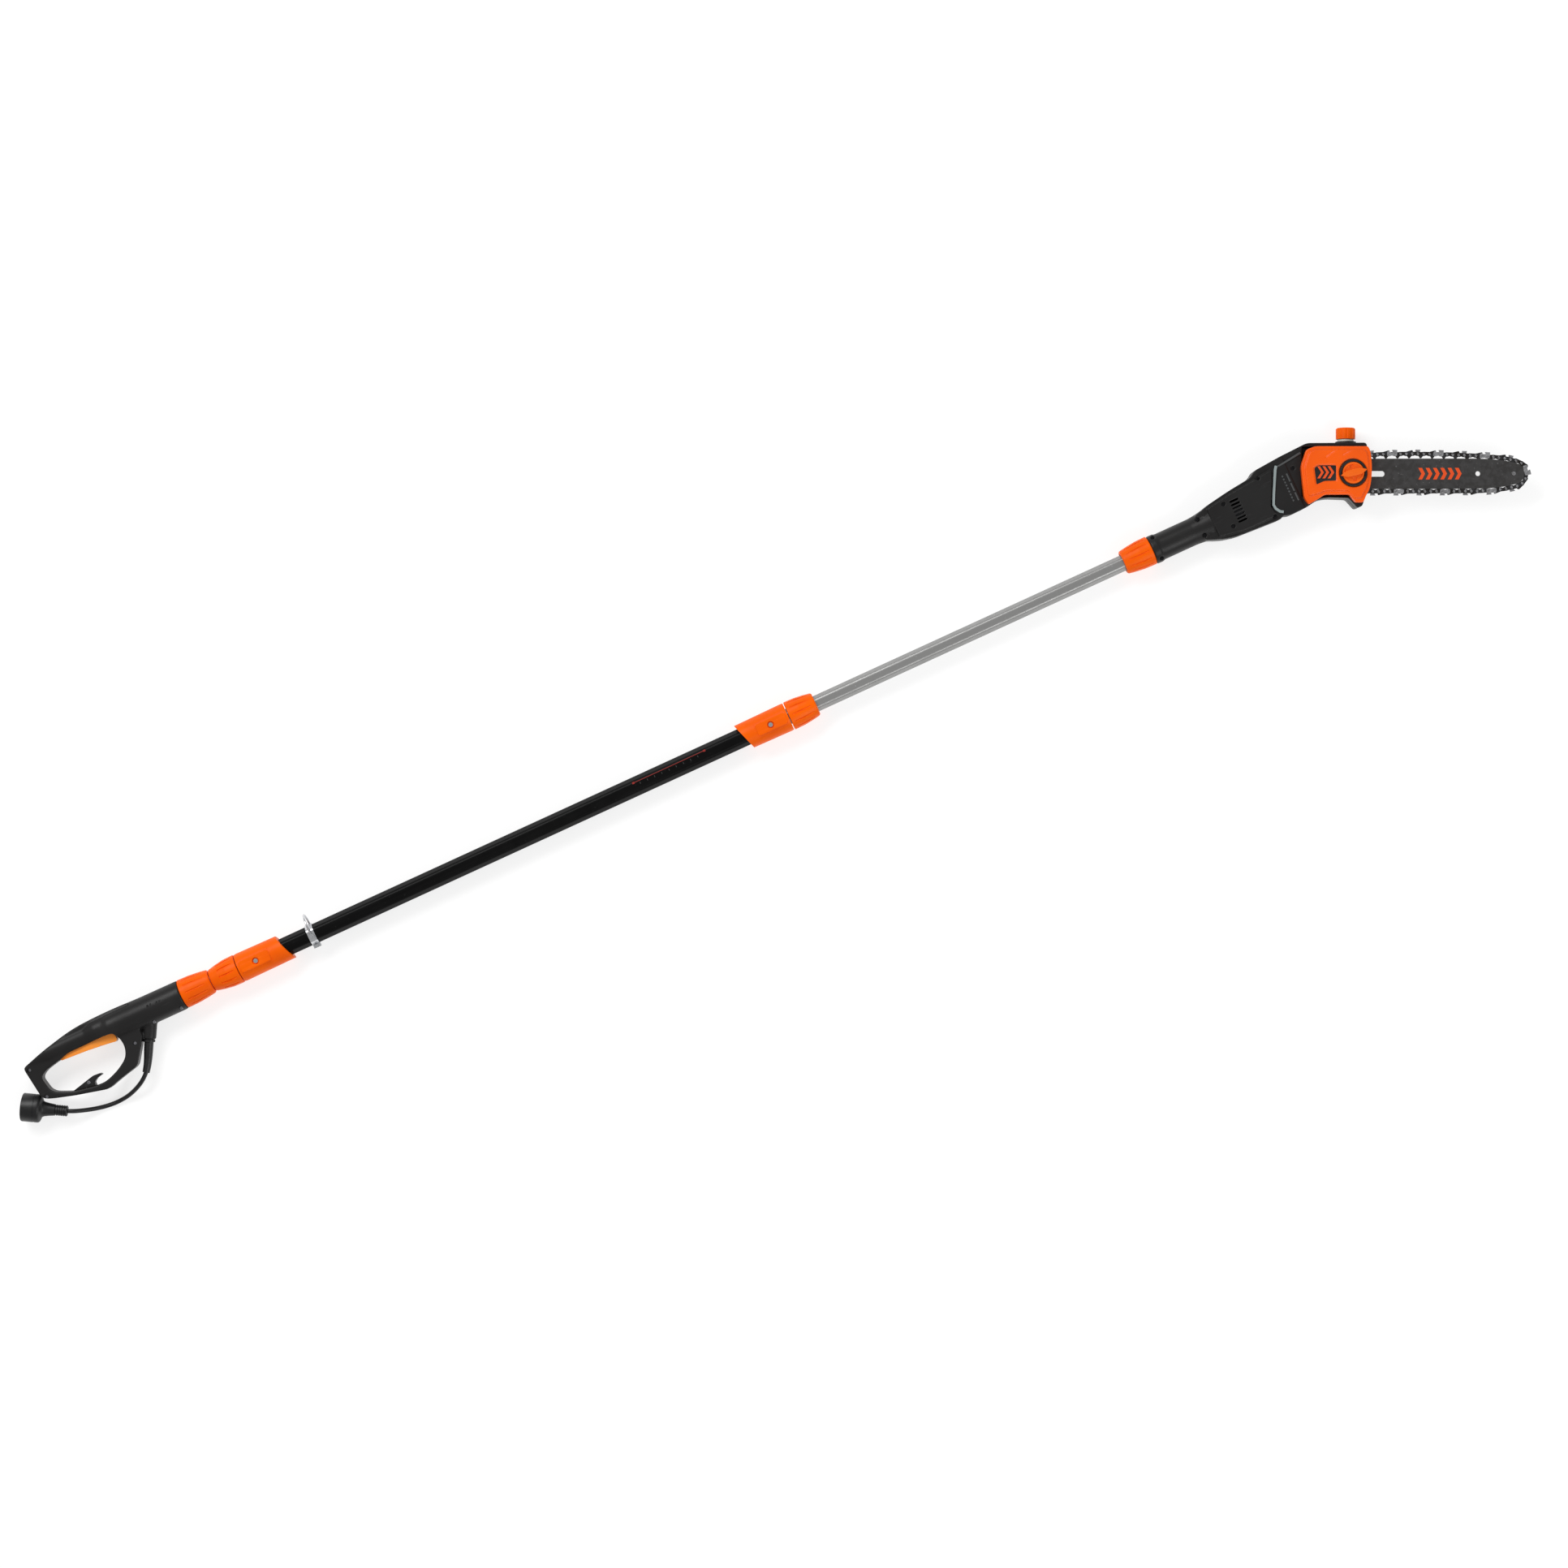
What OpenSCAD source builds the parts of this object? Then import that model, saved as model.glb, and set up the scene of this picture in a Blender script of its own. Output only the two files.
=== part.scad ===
// Telescoping electric pole saw, lying flat on its side at full reach.
// The pole runs along X from the handle to the saw head. +Y is the oil cap's side.
// +Z is the sprocket cover's side. Pieces are drawn on the pole's axis, then moved
// once, by place(), so that the saw stands on z = 0 with its box centred on the origin.

/* [Pole] */
// Corner radius of the outer tube's hexagon
outer_r = 17.3; // [17:0.1:17.6]
// Corner radius of the sliding tube's hexagon
inner_r = 14.5; // [14.2:0.1:14.6]
// Wall of both tubes
tube_wall = 1.3; // [1:0.1:1.5]
// Where the lower sleeve's end meets its lock nut
sleeve_x = -154; // [-155:1:-150]
// Where the upper sleeve's end meets its lock nut
lock_x = 840; // [800:1:860]
// Mouth of the saw head's nut
mouth_x = 1447; // [1430:1:1460]
// Radius of the collars at their thick ends
collar_r = 24.5; // [24:0.1:25]

/* [Handle] */
// Half thickness of the hand loop
loop_z = 14; // [12:0.5:15]
// Radius of the round barrel
barrel_r = 25.4; // [25:0.1:26]
// Half thickness of the trigger
trigger_z = 9; // [7:0.5:9]

/* [Head] */
// Angle of the guide bar to the pole
bar_angle = 24.5; // [24:0.1:25]
// Depth of the head below the pole's axis
head_deep = 29; // [29:0.5:31]
// Height of the sprocket cover above the pole's axis
cover_top = 38; // [36:0.5:40]
// Radius of the oil cap
cap_r = 15.9; // [15:0.1:16.5]

/* [Bar and chain] */
// Half width of the guide bar
bar_half = 24.9; // [24.7:0.1:25]
// Thickness of the guide bar
bar_thick = 4; // [4:0.1:4.4]
// Distance from the lock knob to the nose rivet
nose_u = 266.7; // [266:0.1:267]
// Radius of the bar's nose
nose_r = 17.5; // [17.3:0.1:17.7]
// Number of drive links
links = 40; // [40:1:40]

/* [Lead] */
// Diameter of the mains lead
cord_d = 7.4; // [6.6:0.1:7.6]
// Radius of the plug's cup
cup_r = 23.5; // [22:0.1:23.5]

/* [Hidden] */
$fn = 48;

// The saw's box centre, so that place() can bring it to the origin
centre_x = 786;
centre_y = -53;
floor_z = -head_deep;
// The lock knob's axis, which is the origin of the bar's own frame
knob_x = 1846.95;
knob_y = -23.55;
// Centre of the drive sprocket, along the bar's axis from the knob
drive_u = -50.2;
shaft_x = knob_x + drive_u * cos(bar_angle);
shaft_y = knob_y - drive_u * sin(bar_angle);
// Mid plane of the guide bar and the chain
bar_z = 16;
// Where the handle's barrel ends and its nut begins
barrel_x = -258;
// Trigger pivot
pivot = [-392, 0];
// Mouth, middle and direction of the lead's socket in the handle
socket_root = [-322, -14];
socket_turn = 241.5;
socket_len = 34;
// The bail's pivot on the strap clamp
bail_x = -22;
bail_y = -3;
bail_half = 20.5;
bail_top = 37;
bail_wire = 1.75;
// Where the bolt pinches the clamp's ears
bolt_y = -19.6;
// Half angle of the chain's wrap round the nose
nose_wrap = 78;
// Radius of the rivets' path on the drive sprocket
wrap_r = 18.4;
// Height of the rivets above the bar's rail
rivet_h = 3.9;
// Half spacing of two rivets in one link
half_pitch = 4.7625;
// Shifts the chain along its path, in rivets
phase = 0.55;
// Half thickness of a drive link, and thickness of a side link
strap_z = 0.65;
strap_t = 1.1;

// Outlines: each point is [x, y, length cut back on each side to round the corner]
handle_outline = [[-545, -2, 6], [-500, 11.5, 20], [-445, 24, 25], [-382, 26.5, 30],
    [-330, 24.6, 20], [-258, 24.2], [-258, -25], [-318, -29.5, 4], [-337, -22, 3],
    [-351, -46, 8], [-372, -76.5, 6], [-402, -83.5, 10], [-431, -91.5, 6], [-484, -78.6, 8],
    [-520, -67.8, 8], [-533, -62.5, 4], [-537.5, -56, 3]];
hand_opening = [[-524, -28, 6], [-512, -20.5, 7], [-484, -14.5, 2], [-468, -9.5, 6],
    [-400, -9, 6], [-386, -11, 2], [-380, -24, 4], [-377.5, -38, 9], [-384, -56, 9],
    [-404, -69, 10], [-430, -78.5, 10], [-448, -77.5, 3], [-486, -70.5, 4], [-500, -64.5, 5],
    [-512, -59, 4], [-519, -52, 5]];
trigger_outline = [[-483, -8, 3], [-470, -4, 4], [-425, 0, 6], [-403, 5, 4], [-386, 5, 4],
    [-385, -22, 2], [-388, -25.6, 1.5], [-400, -23.6, 6], [-440, -19.4, 10], [-484, -16.8, 3]];
hook_outline = [[-486, -70, 2], [-446, -60.5, 3], [-434, -61.5, 2], [-431.5, -65, 1.5],
    [-441, -66.5, 3], [-448.5, -71, 3], [-448.5, -77.2]];
head_outline = [[1585, 21], [1612, 28.5, 6], [1651, 35, 8], [1692, 39.8, 5], [1703, 47.5, 5],
    [1751, 51.3, 6], [1801, 53.3, 6], [1890.5, 13, 4], [1886, -10, 6], [1874, -36, 6],
    [1855, -64, 4], [1841, -79, 3], [1832.5, -78.5, 3], [1826, -58, 3],
    [1797, -43.5, 6], [1780, -39, 8], [1756, -43, 6], [1728, -43.5, 4], [1716, -39.5, 2],
    [1710, -43, 3], [1670, -41, 6], [1633, -38.8, 6], [1612, -34, 6], [1591, -25.8, 4],
    [1585, -23]];
cover_outline = [[-76, 38.6, 4], [-85, 11.6, 6], [-82, -20, 8], [-79.5, -41, 5],
    [-71.8, -51, 2], [-55, -41.4, 6], [-46, -34.8, 5], [-6, -34.8, 2], [4.5, -47.6, 2],
    [17, -47.8, 2], [21, -38, 3], [28, -25, 8], [32.5, 5, 22], [29, 36, 5], [25, 44, 3],
    [-62, 44.2, 6]];
strip_line = [[1739, 40], [1735, 34.5], [1726, 18], [1716, -1], [1708.5, -16.5],
    [1709.4, -24], [1714, -31], [1719, -34]];
// One half of the guide bar's edge, from the tail to the nose, in the bar's frame
bar_edge = [[-29, 13], [-24, 16.6], [-8, 21.2], [15, bar_half], [150, bar_half],
    [200, bar_half - 0.1], [225, bar_half - 0.9], [240, bar_half - 2.2], [255, bar_half - 4.2]];
// How far the slack chain stands off the upper rail at each of those stations
slack = [[15, 1.5], [50, 3.5], [110, 4], [160, 2.8], [200, 1], [225, 0.3], [240, 0.1], [255, 0]];
// Screws that close the head: x, y and the height of the shell there
head_screw_at = [[1506.5, 17.9, 16], [1506.5, -19.9, 14], [1585.8, 13.5, 18],
    [1585.8, -14.8, 18], [1633.5, 19, 27], [1633.5, -21, 27], [1702.7, 33.7, 24],
    [1703, -35, 24], [1763, 25, 20]];
handle_screw_at = [[-537, -9, 9], [-529, -60.5, 10], [-425.6, 17, 14], [-360, -41, 12],
    [-317, -22, 11], [-266.6, -20, 12]];
// Route of the mains lead, from the boot's tip to the plug's tail
cord_route = [[-366, -92, 0], [-371.5, -97, -1], [-378.5, -102, -3.5], [-386.5, -106.3, -7],
    [-395.5, -110, -11.5], [-405, -113, -16], [-415, -115.2, -20], [-425, -116.3, -23.3],
    [-435, -116.7, -25], [-445, -116.2, -25.2], [-455, -115, -24.4], [-465, -113, -22.2],
    [-475, -110.4, -18.8], [-485, -107.2, -14.6], [-494, -103.9, -10.6], [-502.5, -100.4, -7.2],
    [-511, -96.3, -5.5]];
boot_route = [[-333.4, -35, 0], [-338.2, -43.9, 0], [-341, -49, 0], [-347, -60.5, 0],
    [-353.5, -72.8, 0], [-359.6, -83, 0], [-366, -92, 0]];
boot_radii = [8.2, 8.2, 7.9, 7.7, 7.1, 6.6, 6.2];
plug_turn = 150.2;
plug_len = 75;

function unit(v) = v / norm(v);
function total(v, i = 0) = i >= len(v) ? 0 : v[i] + total(v, i + 1);

// A closed outline with its corners rounded, n steps to a corner
function cut(p) = is_undef(p[2]) ? 0 : p[2];
function room(p, q) = norm([p[0] - q[0], p[1] - q[1]]) - cut(p) - cut(q);
function soft(pts, n = 5) =
    assert(min([for (i = [0:len(pts) - 1]) room(pts[i], pts[(i + 1) % len(pts)])]) >= 0, pts)
    [for (i = [0:len(pts) - 1])
    let (c = [pts[i][0], pts[i][1]],
        a = pts[(i + len(pts) - 1) % len(pts)],
        b = pts[(i + 1) % len(pts)],
        t = cut(pts[i]),
        u = c + t * unit([a[0], a[1]] - c),
        v = c + t * unit([b[0], b[1]] - c))
    each t == 0 ? [c] : [for (k = [0:n]) let (s = k / n)
        (1 - s) * (1 - s) * u + 2 * s * (1 - s) * c + s * s * v]];

// A hexagon with rounded corners that point along the first axis
function hexagon(r, cut) = soft([for (a = [0:60:300]) [r * cos(a), r * sin(a), cut]], 8);

// A strip of even width along a line of points
function ribbon(line, w) =
    let (n = len(line),
        out = [for (i = [0:n - 1])
            let (d = unit(line[min(i + 1, n - 1)] - line[max(i - 1, 0)])) [-d[1], d[0]] * w / 2])
    concat([for (i = [0:n - 1]) line[i] + out[i]], [for (i = [n - 1:-1:0]) line[i] - out[i]]);

module place() translate([-centre_x, -centre_y, -floor_z]) children();
module in_bar_frame() translate([knob_x, knob_y, 0]) rotate([0, 0, -bar_angle]) children();
// A flat shape stood across the pole and drawn out along it
module along(x0, x1) translate([x0, 0, 0]) rotate([90, 0, 90]) linear_extrude(x1 - x0) children();
// A body turned about the pole's axis, its outline given as [radius, x]
module turned(outline) rotate([0, 90, 0]) rotate_extrude() polygon(outline);
module slab(outline, z0, z1) translate([0, 0, z0]) linear_extrude(z1 - z0) polygon(soft(outline));
module rod(x, y, r, z0, z1) translate([x, y, z0]) cylinder(r = r, h = z1 - z0);
module hex_tube(r, wall, cut, x0, x1) along(x0, x1) difference() {
    polygon(hexagon(r, cut));
    polygon(hexagon(r - wall / cos(30), cut - wall / 2));
}
module near_half() intersection() {
    children();
    translate([-700, -200, 0]) cube([3000, 400, 100]);
}
module far_half() intersection() {
    children();
    translate([-700, -200, -100]) cube([3000, 400, 100]);
}

// A round solid swept along a route, closed at both ends
module swept(route, radii, sides) {
    n = len(route);
    rings = [for (i = [0:n - 1])
        let (d = unit(route[min(i + 1, n - 1)] - route[max(i - 1, 0)]),
            s = unit(cross(d, [0, 0, 1])),
            t = cross(s, d))
        each [for (k = [0:sides - 1]) let (a = 360 * k / sides)
            route[i] + radii[i] * (cos(a) * s + sin(a) * t)]];
    sides_faces = [for (i = [0:n - 2], k = [0:sides - 1]) let (m = (k + 1) % sides)
        [i * sides + k, i * sides + m, (i + 1) * sides + m, (i + 1) * sides + k]];
    first = [for (k = [sides - 1:-1:0]) k];
    last = [for (k = [0:sides - 1]) (n - 1) * sides + k];
    polyhedron(points = rings, faces = concat([first, last], sides_faces), convexity = 4);
}

// ---- handle ----
module handle_form() {
    intersection() {
        translate([0, 0, -barrel_r]) linear_extrude(2 * barrel_r) difference() {
            polygon(soft(handle_outline));
            polygon(soft(hand_opening));
        }
        union() {
            translate([-560, -100, -loop_z]) cube([216, 200, 2 * loop_z]);
            translate([0, 4, 0])
                turned([[0, -548], [14, -540], [18, -500], [18, -430], [22, -412], [22, -380],
                    [22, -330], [0, -330]]);
            turned([[0, -420], [18, -415], [barrel_r, -392], [barrel_r, barrel_x], [0, barrel_x]]);
        }
    }
    turned([[0, barrel_x - 4], [18.4, barrel_x - 4], [18.4, barrel_x + 28], [0, barrel_x + 28]]);
    translate([socket_root[0], socket_root[1], 0]) rotate([0, 90, socket_turn])
        cylinder(r = 11.5, h = socket_len);
}
module handle_hollow() {
    // seat of the tube
    along(-336, barrel_x + 30) polygon(hexagon(inner_r, 4));
    // wiring space behind it
    turned([[0, -400], [20, -392], [20, -338], [0, -338]]);
    // seat of the boot and its clamp
    translate([socket_root[0], socket_root[1], 0]) rotate([0, 90, socket_turn])
        cylinder(r = 8.3, h = socket_len + 2);
    // trigger and switch space
    slab([[-487, -30, 1], [-487, 4, 4], [-472, 15, 4], [-430, 17, 1], [-428, 21, 2],
        [-384, 21, 2], [-384, -8], [-383, -30]], -trigger_z - 0.6, trigger_z + 0.6);
    rod(pivot[0], pivot[1], 2.5, -12, 12);
    for (p = handle_screw_at) {
        rod(p[0], p[1], 3.2, p[2] - 2.4, 60);
        rod(p[0], p[1], 1.5, p[2] - 10, p[2]);
    }
}
module handle_shell_near() color([0.13, 0.13, 0.14]) near_half() difference() {
    handle_form();
    handle_hollow();
}
module handle_shell_far() color([0.13, 0.13, 0.14]) far_half() difference() {
    handle_form();
    handle_hollow();
    rod(-440, 11, 5.3, -40, -5);
}
module handle_screws() color("silver") {
    for (p = handle_screw_at) {
        rod(p[0], p[1], 2.9, p[2] - 2.4, p[2] - 0.4);
        rod(p[0], p[1], 1.5, p[2] - 9.5, p[2] - 2.4);
    }
    rod(-457, -68, 2.6, 8.2, 9.6);
    rod(-457, -68, 1.5, 1, 8.2);
}
module trigger() color([1, 0.5, 0.15]) difference() {
    slab(trigger_outline, -trigger_z, trigger_z);
    rod(pivot[0], pivot[1], 2.56, -20, 20);
}
module trigger_pin() color("silver") rod(pivot[0], pivot[1], 2.5, -12, 12);
module trigger_spring() color("silver") translate([-462, -2.6, 0]) rotate([-90, 0, 0])
    difference() {
        cylinder(r = 3.5, h = 15.5);
        translate([0, 0, -1]) cylinder(r = 2.5, h = 20);
    }
module lock_off_button() color([1, 0.45, 0.1]) {
    rod(-440, 11, 5, -19.8, -11.5);
    rod(-440, 11, 3, -11.5, -6.5);
}
module lock_off_spring() color("silver") difference() {
    rod(-440, 11, 4.4, -11.4, -1);
    rod(-440, 11, 3.4, -12, 0);
}
module power_switch() color([0.2, 0.2, 0.22]) {
    translate([-423, 7, -7]) cube([34, 13, 14]);
    translate([-420, 5.6, -3]) cube([6, 1.4, 6]);
}
module cord_boot() color([0.08, 0.08, 0.09]) swept(boot_route, boot_radii, 16);
module cord_clamp() color([0.2, 0.2, 0.2]) translate([socket_root[0], socket_root[1], 0])
    rotate([0, 90, socket_turn]) difference() {
        translate([0, 0, 8]) cylinder(r = 8.2, h = 14);
        translate([0, 0, 6]) cylinder(r = cord_d / 2, h = 20);
    }
module cord_hook() color([0.16, 0.16, 0.17]) difference() {
    slab(hook_outline, -8, 8.2);
    rod(-457, -68, 1.5, 1, 9);
}

// ---- mains lead ----
module power_cord() color([0.06, 0.06, 0.06])
    swept(cord_route, [for (p = cord_route) cord_d / 2], 12);
module at_plug() translate(cord_route[len(cord_route) - 1]) rotate([0, 90, plug_turn]) children();
module plug_body() color([0.06, 0.06, 0.07]) at_plug() rotate_extrude() polygon(concat(
    [[0, 0], [8.6, 0]],
    [for (i = [0:3]) each [[9, 1 + 4.6 * i], [9, 3.6 + 4.6 * i], [7.9, 4 + 4.6 * i], [7.9, 5 + 4.6 * i]]],
    [[9.6, 20], [12.2, 38], [14, 41], [20, 43.5], [cup_r, 47.5], [cup_r, plug_len],
        [cup_r - 2.2, plug_len], [cup_r - 2.6, 55], [0, 55]]));
module plug_blades() color([0.85, 0.78, 0.5]) at_plug() {
    for (s = [-1, 1]) translate([-3.2, s * 6.35 - 0.75, 55]) cube([6.4, 1.5, 17]);
    translate([11.9, 0, 55]) cylinder(r = 2.4, h = 18);
}

// ---- pole ----
// A twist collar: x_thick is its thick end, x_thin its thin end
module collar(x_thick, x_thin, r_thick, r_thin, deep, bore, from = 8, to = 8) {
    len = abs(x_thin - x_thick);
    flip = x_thin < x_thick ? 1 : 0;
    translate([x_thick, 0, 0]) mirror([flip, 0, 0]) difference() {
        turned([[19, 0], [r_thick - 1.2, 0], [r_thick - 0.2, 0.8], [r_thick, 2],
            [r_thick - 0.5, len * 0.4], [r_thin + (r_thick - r_thin) * 0.45, len * 0.7],
            [r_thin, len - 4], [r_thin - 0.6, len - 1.6], [r_thin - 2.4, len], [bore, len],
            [bore, deep], [19, deep]]);
        for (a = [0:30:330]) rotate([a, 0, 0])
            translate([from, 0, r_thick + 0.4]) rotate([0, 90 + atan((r_thick - r_thin) / len), 0])
            cylinder(r = 1.5, h = len - from - to, $fn = 24);
    }
}
module handle_tube() color("silver") hex_tube(inner_r, tube_wall, 4, -335, -40);
module handle_nut() color([1, 0.4, 0.05])
    collar(barrel_x + 0.6, barrel_x + 53, collar_r, 20.7, 30, 15, 9, 9);
module lower_lock_nut() color([1, 0.4, 0.05])
    collar(sleeve_x - 1.5, sleeve_x - 50, collar_r, 19.2, 36, 15, 6, 16);
module upper_lock_nut() color([1, 0.4, 0.05])
    collar(lock_x + 1.6, lock_x + 50, collar_r, 20.4, 36, 15, 6, 8);
module head_nut() color([1, 0.4, 0.05])
    collar(mouth_x + 50.6, mouth_x, collar_r, 20.4, 28, 15.4, 6, 8);
// A split ring that the lock nut squeezes on to the tube
module collet(x0, x1, r0, r1, fit) difference() {
    turned([[0, x0], [r0, x0], [r1, x1], [0, x1]]);
    along(x0 - 1, x1 + 1) polygon(hexagon(inner_r + fit, 4));
    for (a = [0:60:120]) rotate([a, 0, 0])
        translate([min(x0, x1) - 1 + 8, -1, -30]) cube([abs(x1 - x0) - 6, 2, 60]);
}
module lower_collet() color("dimgray") mirror([1, 0, 0]) collet(-sleeve_x + 1.4, -sleeve_x + 32, 18.6, 17.6, 0.1);
module upper_collet() color("dimgray") collet(lock_x + 1.6, lock_x + 33, 18.6, 17.6, 0.4);
// The sleeve that joins the outer tube to a lock nut, cut slantwise at its other end
module sleeve(x_nut, x_slant, slant) difference() {
    union() {
        turned([[15, x_nut], [23.6, x_nut], [24.1, x_nut + sign(x_slant - x_nut) * 4],
            [23, x_slant], [15, x_slant]]);
        // raised panel on the near side
        intersection() {
            turned([[0, x_nut], [24.7, x_nut], [24.2, x_slant], [0, x_slant]]);
            translate([min(x_nut, x_nut + sign(x_slant - x_nut) * 62) , -12.5, 12])
                translate([5, 0, 0]) cube([52, 25, 20]);
        }
    }
    along(min(x_nut, x_slant) - 1, max(x_nut, x_slant) + 1) polygon(hexagon(outer_r + 0.05, 4.5));
    rod(x_nut + sign(x_slant - x_nut) * 32, -0.5, 5.7, 21, 40);
    rod(x_nut + sign(x_slant - x_nut) * 32, -0.5, 2.1, 0, 40);
    rod(x_nut + sign(x_slant - x_nut) * 32, -0.5, 2.1, -40, 0);
    if (slant > 0) translate([x_slant - 9, 0, -60]) rotate([0, 0, 20.6])
        translate([0, -60, 0]) cube([60, 120, 120]);
    if (slant < 0) translate([x_slant + 9, 0, -60]) rotate([0, 0, 19.1])
        translate([-60, -60, 0]) cube([60, 120, 120]);
}
module lower_sleeve() color([1, 0.42, 0.06]) sleeve(sleeve_x, sleeve_x + 92, 1);
module upper_sleeve() color([1, 0.42, 0.06]) sleeve(lock_x, lock_x - 89, -1);
module sleeve_screws() color([0.25, 0.25, 0.27]) for (x = [sleeve_x + 32, lock_x - 32]) {
    rod(x, -0.5, 4.6, 21, 23.2);
    rod(x, -0.5, 2.1, outer_r * cos(30) + 0.2, 21);
}
module outer_tube() color([0.1, 0.1, 0.11]) hex_tube(outer_r, tube_wall, 4.5, sleeve_x + 0.5, lock_x - 1);
module inner_tube() color([0.6, 0.61, 0.62]) hex_tube(inner_r, tube_wall, 4, 790, mouth_x + 53);
module slide_bush() color("white") along(792, 832) difference() {
    polygon(hexagon(outer_r - tube_wall / cos(30) - 0.25, 4));
    polygon(hexagon(inner_r + 0.03, 4));
}
module coiled_lead() color([0.1, 0.1, 0.1]) rotate([0, 90, 0]) translate([0, 0, -335])
    cylinder(r = 8, h = mouth_x + 52 + 335);
module strap_clamp() color("lightgray") {
    difference() {
        along(bail_x - 6, bail_x + 6) difference() {
            union() {
                polygon(hexagon(outer_r + 2.6, 5));
                translate([-22.5, -5]) square([9, 10]);
            }
            polygon(hexagon(outer_r + 0.03, 4.5));
            translate([-25, -1]) square([9, 2]);
        }
        rod(bail_x, bolt_y, 1.3, -10, 10);
    }
    for (s = [-1, 1]) translate([bail_x, bail_y, s > 0 ? 16 : -24]) cylinder(r = 2.2, h = 8);
}
module clamp_bolt() color("silver") {
    rod(bail_x, bolt_y, 1.25, -5.1, 5.1);
    for (z = [5, -7.4]) translate([bail_x, bolt_y, z]) cylinder(r = 2.6, h = 2.4, $fn = 6);
}
module strap_ring() color("lightgray") translate([bail_x, bail_y, 0]) {
    rise = bail_top - bail_wire - bail_y - bail_half;
    for (s = [-1, 1]) {
        translate([0, 4.4, s * bail_half]) rotate([-90, 0, 0]) cylinder(r = bail_wire, h = rise - 4.4);
        difference() {
            translate([0, 0, s * bail_half - 1.7]) cylinder(r = 4.8, h = 3.4);
            translate([0, 0, s * bail_half - 3]) cylinder(r = 2.26, h = 6);
        }
    }
    translate([0, rise, 0]) rotate([0, 90, 0]) rotate_extrude(angle = 180)
        translate([bail_half, 0]) circle(r = bail_wire, $fn = 24);
}

// ---- saw head ----
module head_spigot() color("dimgray") difference() {
    turned([[0, mouth_x + 24], [18.3, mouth_x + 24], [18.3, mouth_x + 100], [0, mouth_x + 100]]);
    along(mouth_x, mouth_x + 54) polygon(hexagon(inner_r + 0.03, 4));
    turned([[0, mouth_x + 50], [11, mouth_x + 53], [11, mouth_x + 101], [0, mouth_x + 101]]);
}
module head_form() {
    intersection() {
        translate([0, -1, 0]) turned([[0, 1498], [23.4, 1498], [24.2, 1500], [24.2, 1509],
            [23, 1511], [22.6, 1514], [22.6, 1572], [24, 1586], [26.5, 1600], [30, 1620],
            [34, 1645], [0, 1645]]);
        translate([1490, -60, -head_deep]) cube([200, 120, 2 * head_deep]);
    }
    intersection() {
        slab(head_outline, -head_deep, head_deep);
        union() {
            translate([1560, -100, -head_deep + 8]) cube([340, 200, head_deep]);
            translate([1596, -100, -head_deep + 3]) cube([300, 200, head_deep]);
            slab([[1612, 22], [1650, 28], [1692, 32], [1760, 42], [1880, 6], [1868, -30],
                [1835, -60], [1790, -36], [1650, -34], [1612, -26]], -head_deep, 0);
            translate([1596, -100, 0]) cube([120, 200, 22]);
            slab([[1606, 22], [1650, 29], [1692, 33], [1728, 37], [1721, 19], [1710.5, -1],
                [1703, -16.5], [1704, -26], [1708, -35], [1650, -35], [1606, -27]], 0, head_deep);
            translate([1710, -100, 0]) cube([44, 200, 22]);
            translate([1560, -100, 0]) cube([340, 200, 8]);
        }
    }
    // wall round the chain's space, open to the bar
    difference() {
        slab(head_outline, 0, 20);
        in_bar_frame() translate([-81.5, -37.5, -1]) cube([128, 82, 30]);
    }
    // pad that the bar lies on
    in_bar_frame() translate([-26, -12, 0]) cube([50, 24, bar_z - bar_thick / 2 - 0.1]);
    // boss of the oil filler
    in_bar_frame() translate([-5.4, 48, -9]) rotate([-90, 0, 0]) cylinder(r = 17.3, h = 7.3);
}
module head_hollow() {
    turned([[0, 1497], [18.3, 1497], [18.3, mouth_x + 100], [0, mouth_x + 100]]);
    // motor
    translate([0, shaft_y, 0]) turned([[0, 1546], [14, 1546], [14, 1584], [19, 1587],
        [21.2, 1603], [26.6, 1611], [26.6, 1708], [12, 1709], [12, 1790], [0, 1790]]);
    // gears
    rod(shaft_x, shaft_y, 30.5, -20, 1);
    rod(shaft_x, shaft_y, 11.1, -26, 8.5);
    rod(shaft_x, shaft_y, 8, 0, 30);
    // oil tank and filler
    in_bar_frame() translate([-32, 33, -25]) cube([52, 14, 30]);
    in_bar_frame() translate([-5.4, 40, -9]) rotate([-90, 0, 0]) cylinder(r = 13.6, h = 20);
    // oil pump
    in_bar_frame() translate([-8, 6, -25]) cube([26, 20, 22]);
    // stud
    in_bar_frame() cylinder(r = 4.4, h = 60);
    for (i = [0:6]) translate([1644, 15.6 - 5.95 * i, 18]) cube([16, 3, 20]);
    for (p = head_screw_at) {
        rod(p[0], p[1], 3.4, p[2] - 3, 60);
        rod(p[0], p[1], 1.6, p[2] - 8, p[2]);
    }
}
module head_shell_near() color([0.14, 0.14, 0.15]) near_half() difference() {
    head_form();
    head_hollow();
}
module head_shell_far() color([0.14, 0.14, 0.15]) far_half() difference() {
    head_form();
    head_hollow();
}
module head_screws() color([0.3, 0.3, 0.32]) for (p = head_screw_at) {
    rod(p[0], p[1], 3.1, p[2] - 3, p[2] - 1);
    rod(p[0], p[1], 1.58, p[2] - 6.2, p[2] - 3);
}
module accent_strip() color([0.6, 0.64, 0.64]) translate([0, 0, 22]) linear_extrude(3)
    polygon(ribbon(strip_line, 4.6));
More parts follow.
